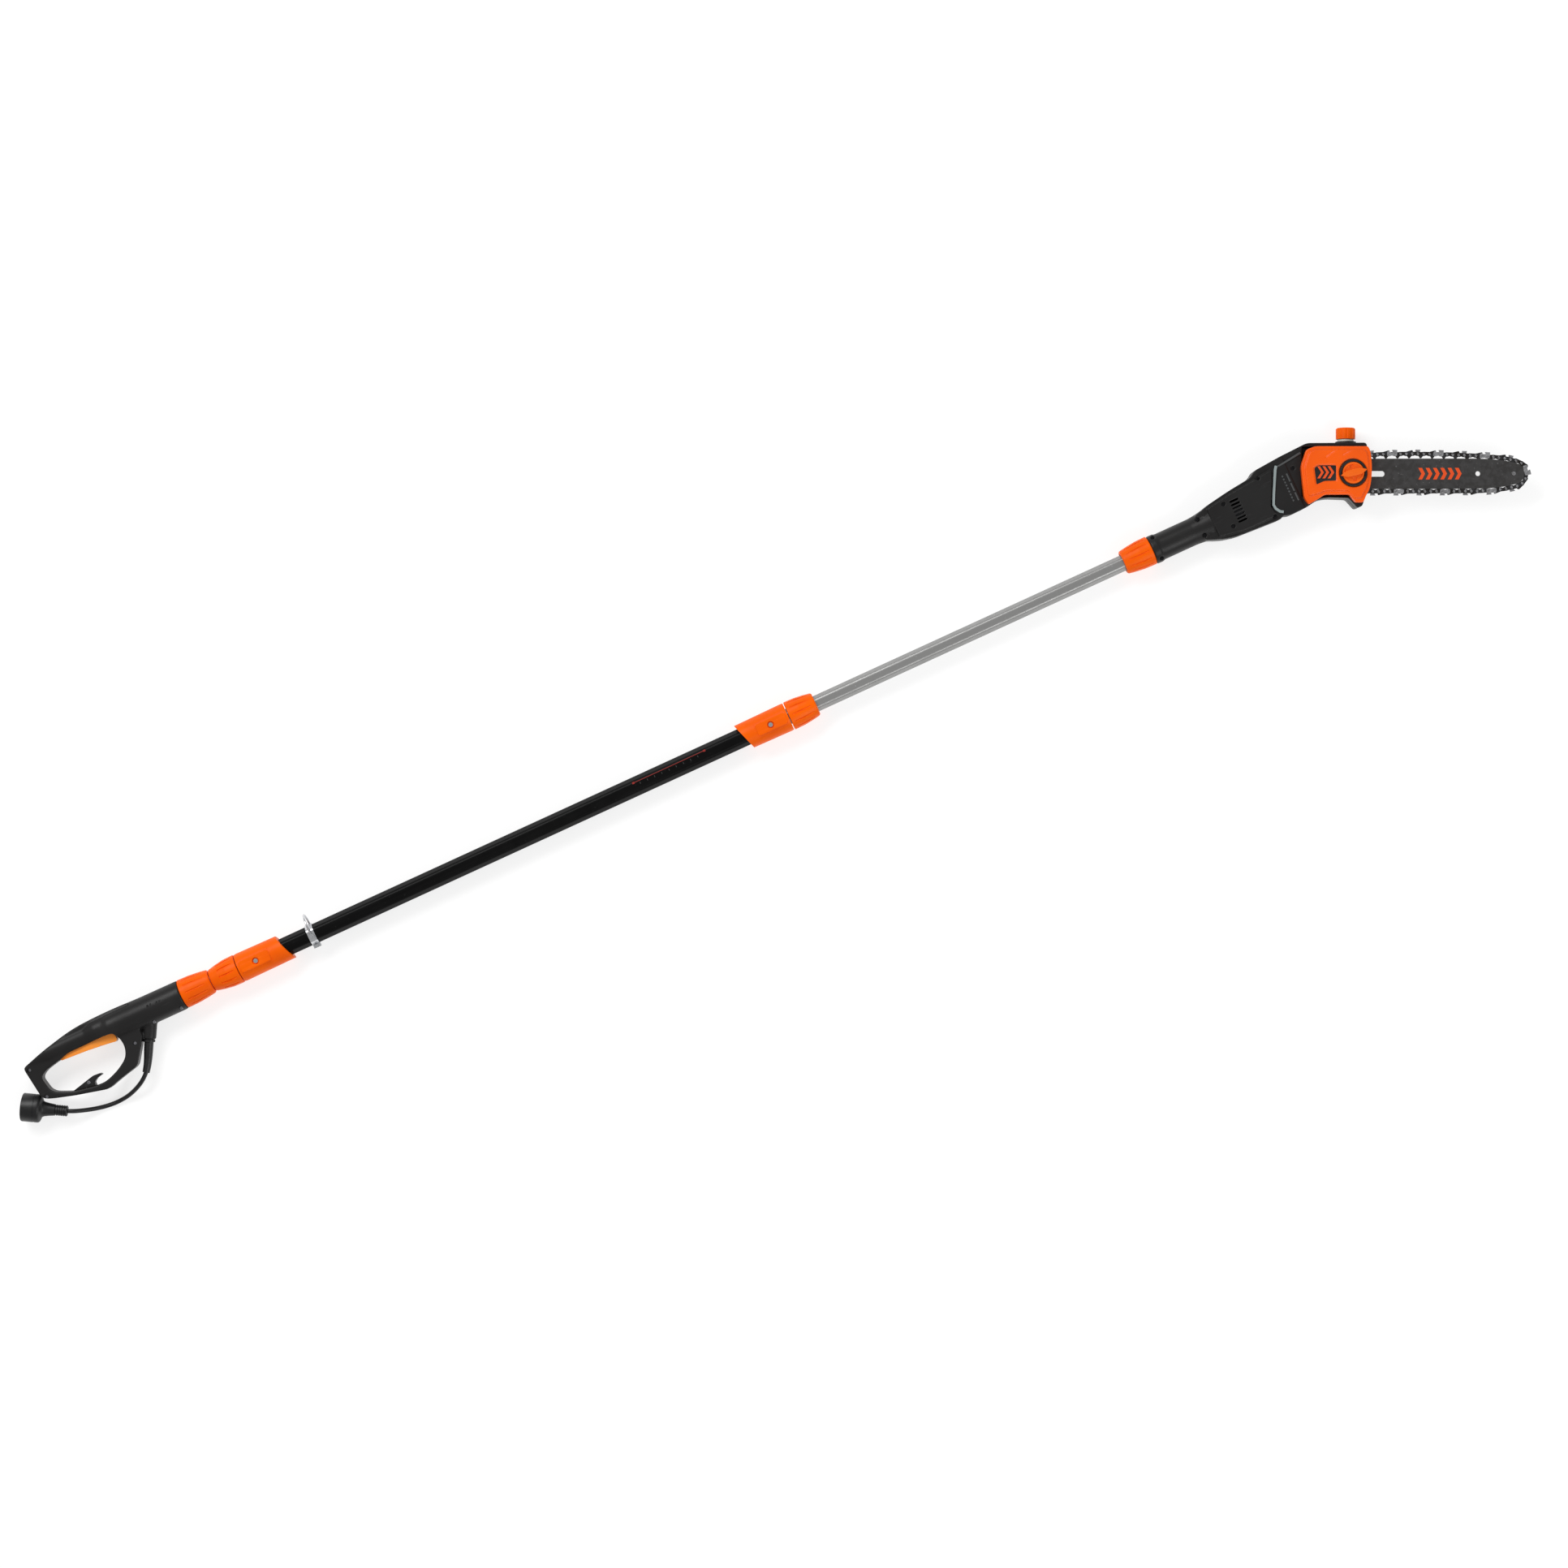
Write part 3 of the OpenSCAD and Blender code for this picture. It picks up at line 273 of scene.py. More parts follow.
def buildEdgeWear():
    # convex edges rubbed paler by hands and by the ground
    group, start, end = newGroup(
        "edgeWear",
        [("Colour", "NodeSocketColor", (0.5, 0.5, 0.5, 1)), ("Worn", "NodeSocketColor", (0.6, 0.6, 0.6, 1)),
         ("Amount", "NodeSocketFloat", 0.4)],
        [("Colour", "NodeSocketColor")])
    edge = addNode(group, "ShaderNodeNewGeometry").outputs["Pointiness"]
    patch = noiseAt(group, stretchedPlace(group, (1.0, 1.0, 1.0)), 180.0, 3.0)
    mask = calculated(group, "MULTIPLY", remapped(group, edge, 0.52, 0.6, 0.0, 1.0),
                      remapped(group, patch.outputs["Fac"], 0.4, 0.6, 0.0, 1.0))
    mask = calculated(group, "MULTIPLY", mask, start.outputs["Amount"])
    colour = blended(group, mask, start.outputs["Colour"], start.outputs["Worn"])
    group.links.new(colour, end.inputs["Colour"])


buildMouldedSkin()
buildDrawnMetal()
buildOilFilm()
buildEdgeWear()

# What each finish looks like. Colours are linear; bump is the height of the grain in metres.
finishes = {
    "blackShell": dict(
        skin="mouldedSkin", colour=(0.019, 0.0185, 0.0185), shade=(0.013, 0.0125, 0.0125),
        scuff=(0.06, 0.06, 0.062), scuffing=0.35, grain=1900, smooth=0.3, rough=0.44, bump=0.00006,
        wear=(0.05, 0.05, 0.052), wearAmount=0.4, shine=0.2),
    "orangeMoulded": dict(
        skin="mouldedSkin", colour=(1.0, 0.135, 0.0), shade=(0.88, 0.105, 0.0), scuff=(0.95, 0.25, 0.04),
        scuffing=0.25, grain=1700, smooth=0.28, rough=0.42, bump=0.00005, shine=0.1),
    "orangeSleeve": dict(
        skin="mouldedSkin", colour=(1.0, 0.14, 0.0), shade=(0.9, 0.112, 0.0), scuff=(0.95, 0.26, 0.07),
        scuffing=0.3, grain=1500, smooth=0.3, rough=0.44, bump=0.00005, shine=0.1),
    "orangeCover": dict(
        skin="mouldedSkin", colour=(1.0, 0.12, 0.0005), shade=(0.9, 0.098, 0.0), scuff=(0.97, 0.28, 0.08),
        scuffing=0.2, grain=1200, smooth=0.2, rough=0.36, bump=0.00003, coat=0.12, wear=(1.0, 0.3, 0.08),
        wearAmount=0.25, shine=0.25),
    "orangeKnob": dict(
        skin="mouldedSkin", colour=(0.95, 0.15, 0.006), shade=(0.88, 0.12, 0.004),
        scuff=(0.97, 0.28, 0.08), scuffing=0.3, grain=1400, smooth=0.26, rough=0.42, bump=0.00004,
        shine=0.25),
    "orangeTrigger": dict(
        skin="mouldedSkin", colour=(1.0, 0.33, 0.045), shade=(0.95, 0.28, 0.035), scuff=(1.0, 0.36, 0.12),
        scuffing=0.25, grain=1300, smooth=0.26, rough=0.4, bump=0.00004, shine=0.25),
    "blackRing": dict(
        skin="mouldedSkin", colour=(0.01, 0.01, 0.011), shade=(0.007, 0.007, 0.008), shine=0.4,
        scuff=(0.08, 0.08, 0.08), scuffing=0.3, grain=1500, smooth=0.36, rough=0.52, bump=0.00004),
    "greyStrip": dict(
        skin="mouldedSkin", colour=(0.3, 0.35, 0.35), shade=(0.26, 0.31, 0.31), scuff=(0.5, 0.53, 0.53),
        scuffing=0.2, grain=1600, smooth=0.32, rough=0.46, bump=0.00003),
    "darkGrey": dict(
        skin="mouldedSkin", colour=(0.07, 0.075, 0.08), shade=(0.055, 0.06, 0.06), scuff=(0.2, 0.2, 0.2),
        scuffing=0.2, grain=1500, smooth=0.35, rough=0.5, bump=0.00003),
    "innerMoulding": dict(
        skin="mouldedSkin", colour=(0.05, 0.05, 0.055), shade=(0.035, 0.035, 0.04),
        scuff=(0.12, 0.12, 0.12), scuffing=0.2, grain=1200, smooth=0.4, rough=0.6, bump=0.00004),
    "milkyPlastic": dict(
        skin="mouldedSkin", colour=(0.78, 0.77, 0.72), shade=(0.7, 0.69, 0.62), scuff=(0.85, 0.85, 0.82),
        scuffing=0.2, grain=800, smooth=0.3, rough=0.45, bump=0.00003, glow=0.12),
    "softPvc": dict(
        skin="mouldedSkin", colour=(0.01, 0.01, 0.0105), shade=(0.007, 0.007, 0.0075), shine=0.4,
        scuff=(0.07, 0.07, 0.07), scuffing=0.3, grain=1100, smooth=0.32, rough=0.48, bump=0.00004),
    "leadJacket": dict(
        skin="mouldedSkin", colour=(0.01, 0.01, 0.011), shade=(0.007, 0.007, 0.008), shine=0.45,
        scuff=(0.06, 0.06, 0.06), scuffing=0.25, grain=900, smooth=0.28, rough=0.42, bump=0.00004),
    "tubePaint": dict(
        skin="drawnMetal", colour=(0.003, 0.003, 0.003), shade=(0.005, 0.005, 0.005), shine=0.08,
        scuff=(0.03, 0.03, 0.03), scuffing=0.3, grain=1400, smooth=0.26, rough=0.4, bump=0.00003,
        stretch=(4.0, 220.0, 220.0)),
    "drawnAluminium": dict(
        skin="drawnMetal", colour=(0.34, 0.34, 0.335), shade=(0.27, 0.27, 0.265), scuff=(0.6, 0.6, 0.62),
        scuffing=0.4, grain=2000, smooth=0.3, rough=0.46, bump=0.00002, stretch=(3.0, 1300.0, 1300.0),
        metallic=0.6),
    "zincPlate": dict(
        skin="drawnMetal", colour=(0.72, 0.73, 0.75), shade=(0.55, 0.56, 0.58), scuff=(0.4, 0.4, 0.4),
        scuffing=0.4, grain=1500, smooth=0.2, rough=0.38, bump=0.00002, stretch=(60.0, 60.0, 400.0),
        metallic=1.0),
    "screwSteel": dict(
        skin="drawnMetal", colour=(0.34, 0.34, 0.36), shade=(0.22, 0.22, 0.24), scuff=(0.6, 0.6, 0.6),
        scuffing=0.5, grain=2400, smooth=0.24, rough=0.4, bump=0.00002, stretch=(700.0, 90.0, 90.0),
        metallic=1.0),
    "springSteel": dict(
        skin="drawnMetal", colour=(0.45, 0.45, 0.47), shade=(0.3, 0.3, 0.32), scuff=(0.6, 0.6, 0.6),
        scuffing=0.3, grain=2400, smooth=0.2, rough=0.34, bump=0.00001, stretch=(200.0, 200.0, 200.0),
        metallic=1.0),
    "machinedSteel": dict(
        skin="drawnMetal", colour=(0.5, 0.5, 0.52), shade=(0.36, 0.36, 0.38), scuff=(0.7, 0.7, 0.7),
        scuffing=0.4, grain=2000, smooth=0.24, rough=0.42, bump=0.00002, stretch=(900.0, 40.0, 40.0),
        metallic=1.0),
    "brassBlade": dict(
        skin="drawnMetal", colour=(0.8, 0.6, 0.26), shade=(0.66, 0.46, 0.18), scuff=(0.9, 0.8, 0.5),
        scuffing=0.4, grain=2000, smooth=0.2, rough=0.36, bump=0.00001, stretch=(40.0, 600.0, 600.0),
        metallic=1.0),
    "carbonBlock": dict(
        skin="mouldedSkin", colour=(0.05, 0.05, 0.052), shade=(0.03, 0.03, 0.03),
        scuff=(0.12, 0.12, 0.12), scuffing=0.4, grain=2400, smooth=0.4, rough=0.6, bump=0.00004),
    "barEnamel": dict(
        skin="drawnMetal", colour=(0.05, 0.048, 0.048), shade=(0.032, 0.031, 0.031), shine=0.4,
        scuff=(0.3, 0.3, 0.31), scuffing=0.5, grain=1800, smooth=0.3, rough=0.46, bump=0.00002,
        stretch=(90.0, 90.0, 90.0), oil=(0.012, 0.01, 0.008), oilAmount=0.35),
    "chainSteel": dict(
        skin="drawnMetal", colour=(0.1, 0.1, 0.105), shade=(0.045, 0.045, 0.048),
        scuff=(0.45, 0.45, 0.46), scuffing=0.6, grain=2200, smooth=0.26, rough=0.45, bump=0.00002,
        stretch=(260.0, 260.0, 260.0), metallic=1.0, oil=(0.03, 0.022, 0.015), oilAmount=0.6),
    "hardChrome": dict(
        skin="drawnMetal", colour=(0.66, 0.66, 0.68), shade=(0.48, 0.48, 0.5), scuff=(0.2, 0.2, 0.2),
        scuffing=0.4, grain=2400, smooth=0.16, rough=0.32, bump=0.00001, stretch=(180.0, 180.0, 180.0),
        metallic=1.0, oil=(0.1, 0.08, 0.06), oilAmount=0.3),
    "rivetSteel": dict(
        skin="drawnMetal", colour=(0.55, 0.55, 0.57), shade=(0.4, 0.4, 0.42), scuff=(0.2, 0.2, 0.2),
        scuffing=0.4, grain=2400, smooth=0.2, rough=0.36, bump=0.00001, stretch=(300.0, 300.0, 300.0),
        metallic=1.0, oil=(0.06, 0.05, 0.04), oilAmount=0.4),
    "orangePrint": dict(
        skin="mouldedSkin", colour=(0.85, 0.085, 0.003), shade=(0.75, 0.065, 0.002),
        scuff=(0.3, 0.06, 0.02), scuffing=0.5, grain=1600, smooth=0.34, rough=0.5, bump=0.00002),
    "redPrint": dict(
        skin="mouldedSkin", colour=(0.33, 0.014, 0.008), shade=(0.24, 0.01, 0.006),
        scuff=(0.05, 0.03, 0.03), scuffing=0.5, grain=1600, smooth=0.34, rough=0.5, bump=0.00002),
    "greyPrint": dict(
        skin="mouldedSkin", colour=(0.045, 0.045, 0.045), shade=(0.03, 0.03, 0.03),
        scuff=(0.02, 0.02, 0.02), scuffing=0.5, grain=1600, smooth=0.34, rough=0.5, bump=0.00002),
    "blackenedSteel": dict(
        skin="drawnMetal", colour=(0.03, 0.03, 0.032), shade=(0.018, 0.018, 0.02), scuff=(0.1, 0.1, 0.1),
        scuffing=0.4, grain=2000, smooth=0.34, rough=0.5, bump=0.00002, stretch=(900.0, 40.0, 40.0),
        metallic=1.0),
}


def makeFinish(name, look):
    material = bpy.data.materials.new(name)
    material.use_nodes = True
    tree = material.node_tree
    shader = tree.nodes["Principled BSDF"]
    shader.inputs["Metallic"].default_value = look.get("metallic", 0.0)
    shader.inputs["Coat Weight"].default_value = look.get("coat", 0.0)
    shader.inputs["Coat Roughness"].default_value = 0.3
    shader.inputs["Specular IOR Level"].default_value = look.get("shine", 0.5)
    shader.inputs["Subsurface Weight"].default_value = look.get("glow", 0.0)
    shader.inputs["Subsurface Scale"].default_value = 0.004
    skin = addNode(tree, "ShaderNodeGroup", node_tree=bpy.data.node_groups[look["skin"]])
    for label, key in (("Colour", "colour"), ("Shade", "shade"), ("Scuff", "scuff")):
        skin.inputs[label].default_value = (*look[key], 1)
    for label, key in (("Scuffing", "scuffing"), ("Grain Size", "grain"), ("Smoothest", "smooth"),
                       ("Roughest", "rough")):
        skin.inputs[label].default_value = look[key]
    if "stretch" in look:
        skin.inputs["Stretch"].default_value = look["stretch"]
    colour, rough = skin.outputs["Colour"], skin.outputs["Roughness"]
    if "oil" in look:
        film = addNode(tree, "ShaderNodeGroup", node_tree=bpy.data.node_groups["oilFilm"])
        film.inputs["Oil"].default_value = (*look["oil"], 1)
        film.inputs["Amount"].default_value = look["oilAmount"]
        tree.links.new(colour, film.inputs["Colour"])
        tree.links.new(rough, film.inputs["Roughness"])
        colour, rough = film.outputs["Colour"], film.outputs["Roughness"]
    if "wear" in look:
        wear = addNode(tree, "ShaderNodeGroup", node_tree=bpy.data.node_groups["edgeWear"])
        wear.inputs["Worn"].default_value = (*look["wear"], 1)
        wear.inputs["Amount"].default_value = look["wearAmount"]
        tree.links.new(colour, wear.inputs["Colour"])
        colour = wear.outputs["Colour"]
    bump = addNode(tree, "ShaderNodeBump")
    bump.inputs["Strength"].default_value = 0.6
    bump.inputs["Distance"].default_value = look["bump"]
    tree.links.new(skin.outputs["Height"], bump.inputs["Height"])
    tree.links.new(colour, shader.inputs["Base Color"])
    tree.links.new(rough, shader.inputs["Roughness"])
    tree.links.new(bump.outputs["Normal"], shader.inputs["Normal"])
    return material


finish = {name: makeFinish(name, look) for name, look in finishes.items()}
print("finishes made:", len(finish))


# Workshop: the few moves that every new piece is made with
def deselect():
    if bpy.context.object and bpy.context.object.mode != "OBJECT":
        bpy.ops.object.mode_set(mode="OBJECT")
    bpy.ops.object.select_all(action="DESELECT")


def takeUp(piece):
    deselect()
    piece.select_set(True)
    bpy.context.view_layer.objects.active = piece


def named(name):
    piece = bpy.context.active_object
    piece.name = name
    piece.data.name = name
    return piece


def rounded(corners, steps=5):
    # each corner is x, y and the length that its rounding takes off both sides
    line = []
    for index, corner in enumerate(corners):
        here = Vector(corner[:2])
        cut = corner[2] if len(corner) > 2 else 0
        if cut == 0:
            line.append(tuple(here))
            continue
        start = here + cut * (Vector(corners[index - 1][:2]) - here).normalized()
        stop = here + cut * (Vector(corners[(index + 1) % len(corners)][:2]) - here).normalized()
        for step in range(steps + 1):
            share = step / steps
            line.append(tuple((1 - share) ** 2 * start + 2 * share * (1 - share) * here + share ** 2 * stop))
    return line


def openAll():
    bpy.ops.object.mode_set(mode="EDIT")
    bpy.ops.mesh.select_all(action="SELECT")


def closeUp():
    bpy.ops.mesh.select_all(action="SELECT")
    bpy.ops.mesh.normals_make_consistent(inside=False)
    bpy.ops.object.mode_set(mode="OBJECT")


def settle(piece):
    # its place and turn go into its points
    takeUp(piece)
    bpy.ops.object.transform_apply(location=True, rotation=True, scale=True)


def smoothed(piece, angle=40):
    takeUp(piece)
    bpy.ops.object.shade_smooth_by_angle(angle=math.radians(angle))


def ringOf(name, count):
    # a closed ring of points, each of which the caller then puts in its place
    deselect()
    bpy.ops.mesh.primitive_circle_add(vertices=count, radius=0.05, fill_type="NOTHING", location=(0, 0, 0))
    return named(name)


def plate(name, corners, low, high, placeBy=spot):
    piece = ringOf(name, len(corners))
    for vertex, corner in zip(piece.data.vertices, corners):
        vertex.co = placeBy(corner[0], corner[1], low)
    openAll()
    bpy.ops.mesh.edge_face_add()
    bpy.ops.mesh.extrude_region_move(TRANSFORM_OT_translate={"value": (0, 0, (high - low) / 1000)})
    closeUp()
    return piece


def spun(name, profile, sides, base, heading):
    # the profile is radius and distance along the axis, from the axis back to the axis
    piece = ringOf(name, len(profile))
    for vertex, point in zip(piece.data.vertices, profile):
        vertex.co = (point[0] / 1000, 0, point[1] / 1000)
    openAll()
    bpy.ops.mesh.spin(steps=sides, angle=2 * math.pi, center=(0, 0, 0), axis=(0, 0, 1))
    bpy.ops.mesh.select_all(action="SELECT")
    bpy.ops.mesh.remove_doubles(threshold=0.000002)
    bpy.ops.mesh.dissolve_degenerate(threshold=0.000002)
    bpy.ops.mesh.select_all(action="SELECT")
    bpy.ops.mesh.delete_loose()
    closeUp()
    piece.rotation_mode = "QUATERNION"
    piece.rotation_quaternion = Vector(heading).to_track_quat("Z", "Y")
    piece.location = base
    settle(piece)
    return piece


def applied(piece, kind, **settings):
    takeUp(piece)
    bpy.ops.object.modifier_add(type=kind)
    modifier = piece.modifiers[-1]
    for key, value in settings.items():
        setattr(modifier, key, value)
    bpy.ops.object.modifier_apply(modifier=modifier.name)


def combined(piece, other, operation):
    applied(piece, "BOOLEAN", operation=operation, object=other, solver="EXACT")
    bpy.data.objects.remove(other)
    return piece


def roundEdges(piece, width, segments=3, angle=40):
    applied(piece, "BEVEL", width=width / 1000, segments=segments, limit_method="ANGLE",
            angle_limit=math.radians(angle))
    smoothed(piece)


def melt(piece, voxel, passes):
    # one skin over all the joined shapes, its edges run soft
    applied(piece, "REMESH", mode="VOXEL", voxel_size=voxel / 1000, adaptivity=0.0)
    applied(piece, "SMOOTH", factor=0.5, iterations=passes)
    takeUp(piece)
    bpy.ops.object.shade_smooth()


def twinOf(name, part):
    # a copy of a carried-over part, its loose triangles merged
    mesh = nodes[part].data.copy()
    twin = bpy.data.objects.new(name, mesh)
    bpy.context.scene.collection.objects.link(twin)
    mesh.materials.clear()
    takeUp(twin)
    openAll()
    bpy.ops.mesh.remove_doubles(threshold=0.000001)
    bpy.ops.object.mode_set(mode="OBJECT")
    return twin


def copied(piece, name):
    twin = bpy.data.objects.new(name, piece.data.copy())
    bpy.context.scene.collection.objects.link(twin)
    return twin


def joined(pieces, name):
    takeUp(pieces[0])
    for piece in pieces[1:]:
        piece.select_set(True)
    bpy.ops.object.join()
    return named(name)


def dress(piece, look, body, slot, *parts):
    piece.data.materials.clear()
    piece.data.materials.append(finish[look])
    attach(piece, body)
    if parts:
        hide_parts(*parts)
    return piece


# The mains lead and its plug
mainsLead = {
    "diameter": 7.4, "length": 0.162,
    "route": [
        (-366, -92, 0), (-371.5, -97, -1), (-378.5, -102, -3.5), (-386.5, -106.3, -7), (-395.5, -110, -11.5),
        (-405, -113, -16), (-415, -115.2, -20), (-425, -116.3, -23.3), (-435, -116.7, -25),
        (-445, -116.2, -25.2), (-455, -115, -24.4), (-465, -113, -22.2), (-475, -110.4, -18.8),
        (-485, -107.2, -14.6), (-494, -103.9, -10.6), (-502.5, -100.4, -7.2), (-511, -96.3, -5.5)],
}
plugShape = {"turn": 150.2, "length": 75.0, "cupRadius": 23.5, "ribs": 5, "sides": 56}
bootShape = {
    "route": [(-333.4, -35, 0), (-338.2, -43.9, 0), (-341, -49, 0), (-347, -60.5, 0), (-353.5, -72.8, 0),
              (-359.6, -83, 0), (-366, -92, 0)],
    "radii": [8.1, 8.1, 7.8, 7.6, 7.0, 6.5, 6.1],
    "collar": [(0, -2), (9.6, -2), (10.2, -1.4), (10.2, 1.6), (9.6, 2.2), (0, 2.2)],
    "collarAt": (-339.6, -46.4), "collarHeading": (-0.46, -0.89, 0),
}


def routeCurve(name, route, radii, depth):
    data = bpy.data.curves.new(name, "CURVE")
    data.dimensions = "3D"
    data.bevel_depth = depth / 1000
    data.bevel_resolution = 6
    data.use_fill_caps = True
    data.resolution_u = 6
    spline = data.splines.new("BEZIER")
    spline.bezier_points.add(len(route) - 1)
    for point, place, radius in zip(spline.bezier_points, route, radii):
        point.co = spot(*place)
        point.handle_left_type = "AUTO"
        point.handle_right_type = "AUTO"
        point.radius = radius
    curve = bpy.data.objects.new(name, data)
    bpy.context.scene.collection.objects.link(curve)
    return curve


def makePlug():
    cup = plugShape["cupRadius"]
    profile = [(0, 0.2), (7.6, 0.2), (8.4, 0.7)]
    for rib in range(plugShape["ribs"]):
        at = 1.0 + 3.8 * rib
        profile += [(8.95, at + 0.3), (9.0, at + 0.8), (9.0, at + 1.9), (8.9, at + 2.4), (7.9, at + 2.7),
                    (7.9, at + 3.5)]
    profile += [(9.4, 20.5), (10.6, 30), (12.1, 38), (13.4, 40.6), (15.8, 42.4), (19.4, 43.6), (21.8, 44.8),
                (23.0, 46.4), (23.4, 48.5), (23.4, 53.4), (22.9, 53.8), (22.9, 55.0), (23.4, 55.4),
                (cup - 0.05, 73.4), (cup - 0.5, 74.6), (cup - 1.2, plugShape["length"]), (cup - 2.0, 74.5),
                (cup - 2.4, 73), (cup - 2.7, 56), (cup - 3.4, 55.2), (0, 55.2)]
    turn = math.radians(plugShape["turn"])
    heading = (math.cos(turn), math.sin(turn), 0)
    plug = spun("plugBody", profile, plugShape["sides"], spot(*mainsLead["route"][-1]), heading)
    smoothed(plug, 38)
    return dress(plug, "softPvc", "pole", "soft_rubber", "plug_body")


def makeLead():
    route = mainsLead["route"]
    lead = routeCurve("mainsLead", route, [1.0] * len(route), mainsLead["diameter"] / 2)
    lead.data.materials.append(finish["leadJacket"])
    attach(lead, "pole")
    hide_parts("power_cord")
    plug = makePlug()
    boot = routeCurve("leadBoot", bootShape["route"], bootShape["radii"], 1.0)
    takeUp(boot)
    bpy.ops.object.convert(target="MESH")
    collar = spun("bootCollar", bootShape["collar"], 40, spot(*bootShape["collarAt"]),
                  bootShape["collarHeading"])
    combined(boot, collar, "UNION")
    smoothed(boot)
    dress(boot, "softPvc", "pole", "soft_rubber", "cord_boot")


makeLead()
print("mains lead, boot and plug made")


# Rear handle
handleShape = {
    "outline": [
        (-545, -2, 6), (-500, 11.5, 20), (-445, 24, 25), (-382, 26.5, 30), (-330, 24.6, 20), (-258, 24.2),
        (-258, -25), (-318, -29.5, 4), (-337, -22, 3), (-351, -46, 8), (-372, -76.5, 6), (-402, -83.5, 10),
        (-431, -91.5, 6), (-484, -78.6, 8), (-520, -67.8, 8), (-533, -62.5, 4), (-537.5, -56, 3)],
    "opening": [
        (-524, -28, 6), (-512, -20.5, 7), (-484, -14.5, 2), (-468, -9.5, 6), (-400, -9, 6), (-386, -11, 2),
        (-380, -24, 4), (-377.5, -38, 9), (-384, -56, 9), (-404, -69, 10), (-430, -78.5, 10),
        (-448, -77.5, 3), (-486, -70.5, 4), (-500, -64.5, 5), (-512, -59, 4), (-519, -52, 5)],
    "pocket": [(-487, -30), (-487, 3, 2), (-472, 6, 3), (-383, 7, 2), (-383, -30)],
    "halfThickness": 14.0, "voxel": 1.15, "softening": 20, "seam": 0.12,
    "grip": [(0, -548), (14, -540), (18, -500), (18, -430), (22, -412), (22, -330), (0, -330)], "gripRise": 4,
    "barrel": [(0, -420), (16, -416), (22, -404), (25.4, -388), (25.4, -258), (0, -258)],
    "socket": [(0, 0), (11.6, 0), (11.6, 32), (10.8, 34), (0, 34)],
    "socketAt": (-322, -14), "socketTurn": 241.5,
    "recessDepth": 3.4, "lockHole": [(0, -30), (5.4, -30), (5.4, 0.5), (0, 0.5)], "lockHoleAt": (-440, 11),
    "screws": [(-537, -9, 10), (-529, -60.5, 11.5), (-360, -41, 13), (-317, -22, 12.5), (-266.6, -20, 15)],
}


def boxPiece(name, low, high):
    deselect()
    lowest, highest = Vector(spot(*low)), Vector(spot(*high))
    bpy.ops.mesh.primitive_cube_add(size=1, location=(lowest + highest) / 2, scale=highest - lowest)
    piece = named(name)
    settle(piece)
    return piece


def makeHandle():
    shape = handleShape
    thick = shape["halfThickness"]
    body = boxPiece("handleBody", (-560, -100, -thick), (-344, 100, thick))
    combined(body, spun("grip", shape["grip"], 64, spot(0, shape["gripRise"]), (1, 0, 0)), "UNION")
    combined(body, spun("barrel", shape["barrel"], 64, spot(0, 0), (1, 0, 0)), "UNION")
    combined(body, plate("outer", rounded(shape["outline"]), -26, 26), "INTERSECT")
    combined(body, plate("hole", rounded(shape["opening"]), -30, 30), "DIFFERENCE")
    turn = math.radians(shape["socketTurn"])
    socket = spun("socket", shape["socket"], 40, spot(*shape["socketAt"]),
                  (math.cos(turn), math.sin(turn), 0))
    combined(body, socket, "UNION")
    melt(body, shape["voxel"], shape["softening"])
    combined(body, plate("pocket", rounded(shape["pocket"]), -9.5, 9.5), "DIFFERENCE")
    for x, y, height in shape["screws"]:
        seat = height - shape["recessDepth"]
        recess = spun("recess", [(0, seat), (3.3, seat), (3.6, 30), (0, 30)], 28, spot(x, y), (0, 0, 1))
        combined(body, recess, "DIFFERENCE")
    lockHole = spun("lockHole", shape["lockHole"], 36, spot(*shape["lockHoleAt"]), (0, 0, 1))
    combined(body, lockHole, "DIFFERENCE")
    return body


def halfOf(body, name, upper, gap):
    half = copied(body, name)
    takeUp(half)
    openAll()
    height = spot(0, 0, gap if upper else -gap)[2]
    bpy.ops.mesh.bisect(plane_co=(0, 0, height), plane_no=(0, 0, 1), use_fill=True,
                        clear_inner=upper, clear_outer=not upper)
    bpy.ops.object.mode_set(mode="OBJECT")
    smoothed(half, 35)
    return half


handleBody = makeHandle()
handleNear = halfOf(handleBody, "handleShellNear", True, handleShape["seam"])
handleFar = halfOf(handleBody, "handleShellFar", False, handleShape["seam"])
bpy.data.objects.remove(handleBody)
dress(handleNear, "blackShell", "pole", "black_plastic", "handle_shell_near")
dress(handleFar, "blackShell", "pole", "black_plastic", "handle_shell_far")
print("handle shells made")

triggerShape = {
    "outline": [
        (-482.6, -8, 3), (-470, -4, 4), (-425, 0, 6), (-403, 5, 4), (-386, 5, 4), (-385, -22, 2),
        (-388, -25.4, 1.5), (-400, -23.4, 6), (-440, -19.2, 10), (-483.6, -16.6, 3)],
    "halfThickness": 9.0, "edge": 3.2,
    "grooves": 5, "grooveStart": -458, "grooveStep": 11, "grooveLine": -19.2, "grooveDrop": 0.66,
}
hookShape = {
    "outline": [(-486, -70, 2), (-446, -60.5, 3), (-434, -61.5, 2), (-431.5, -65, 1.5), (-441, -66.5, 3),
                (-448.5, -71, 3), (-448.5, -77.2)],
    "low": -8.0, "high": 8.2, "edge": 1.2,
}


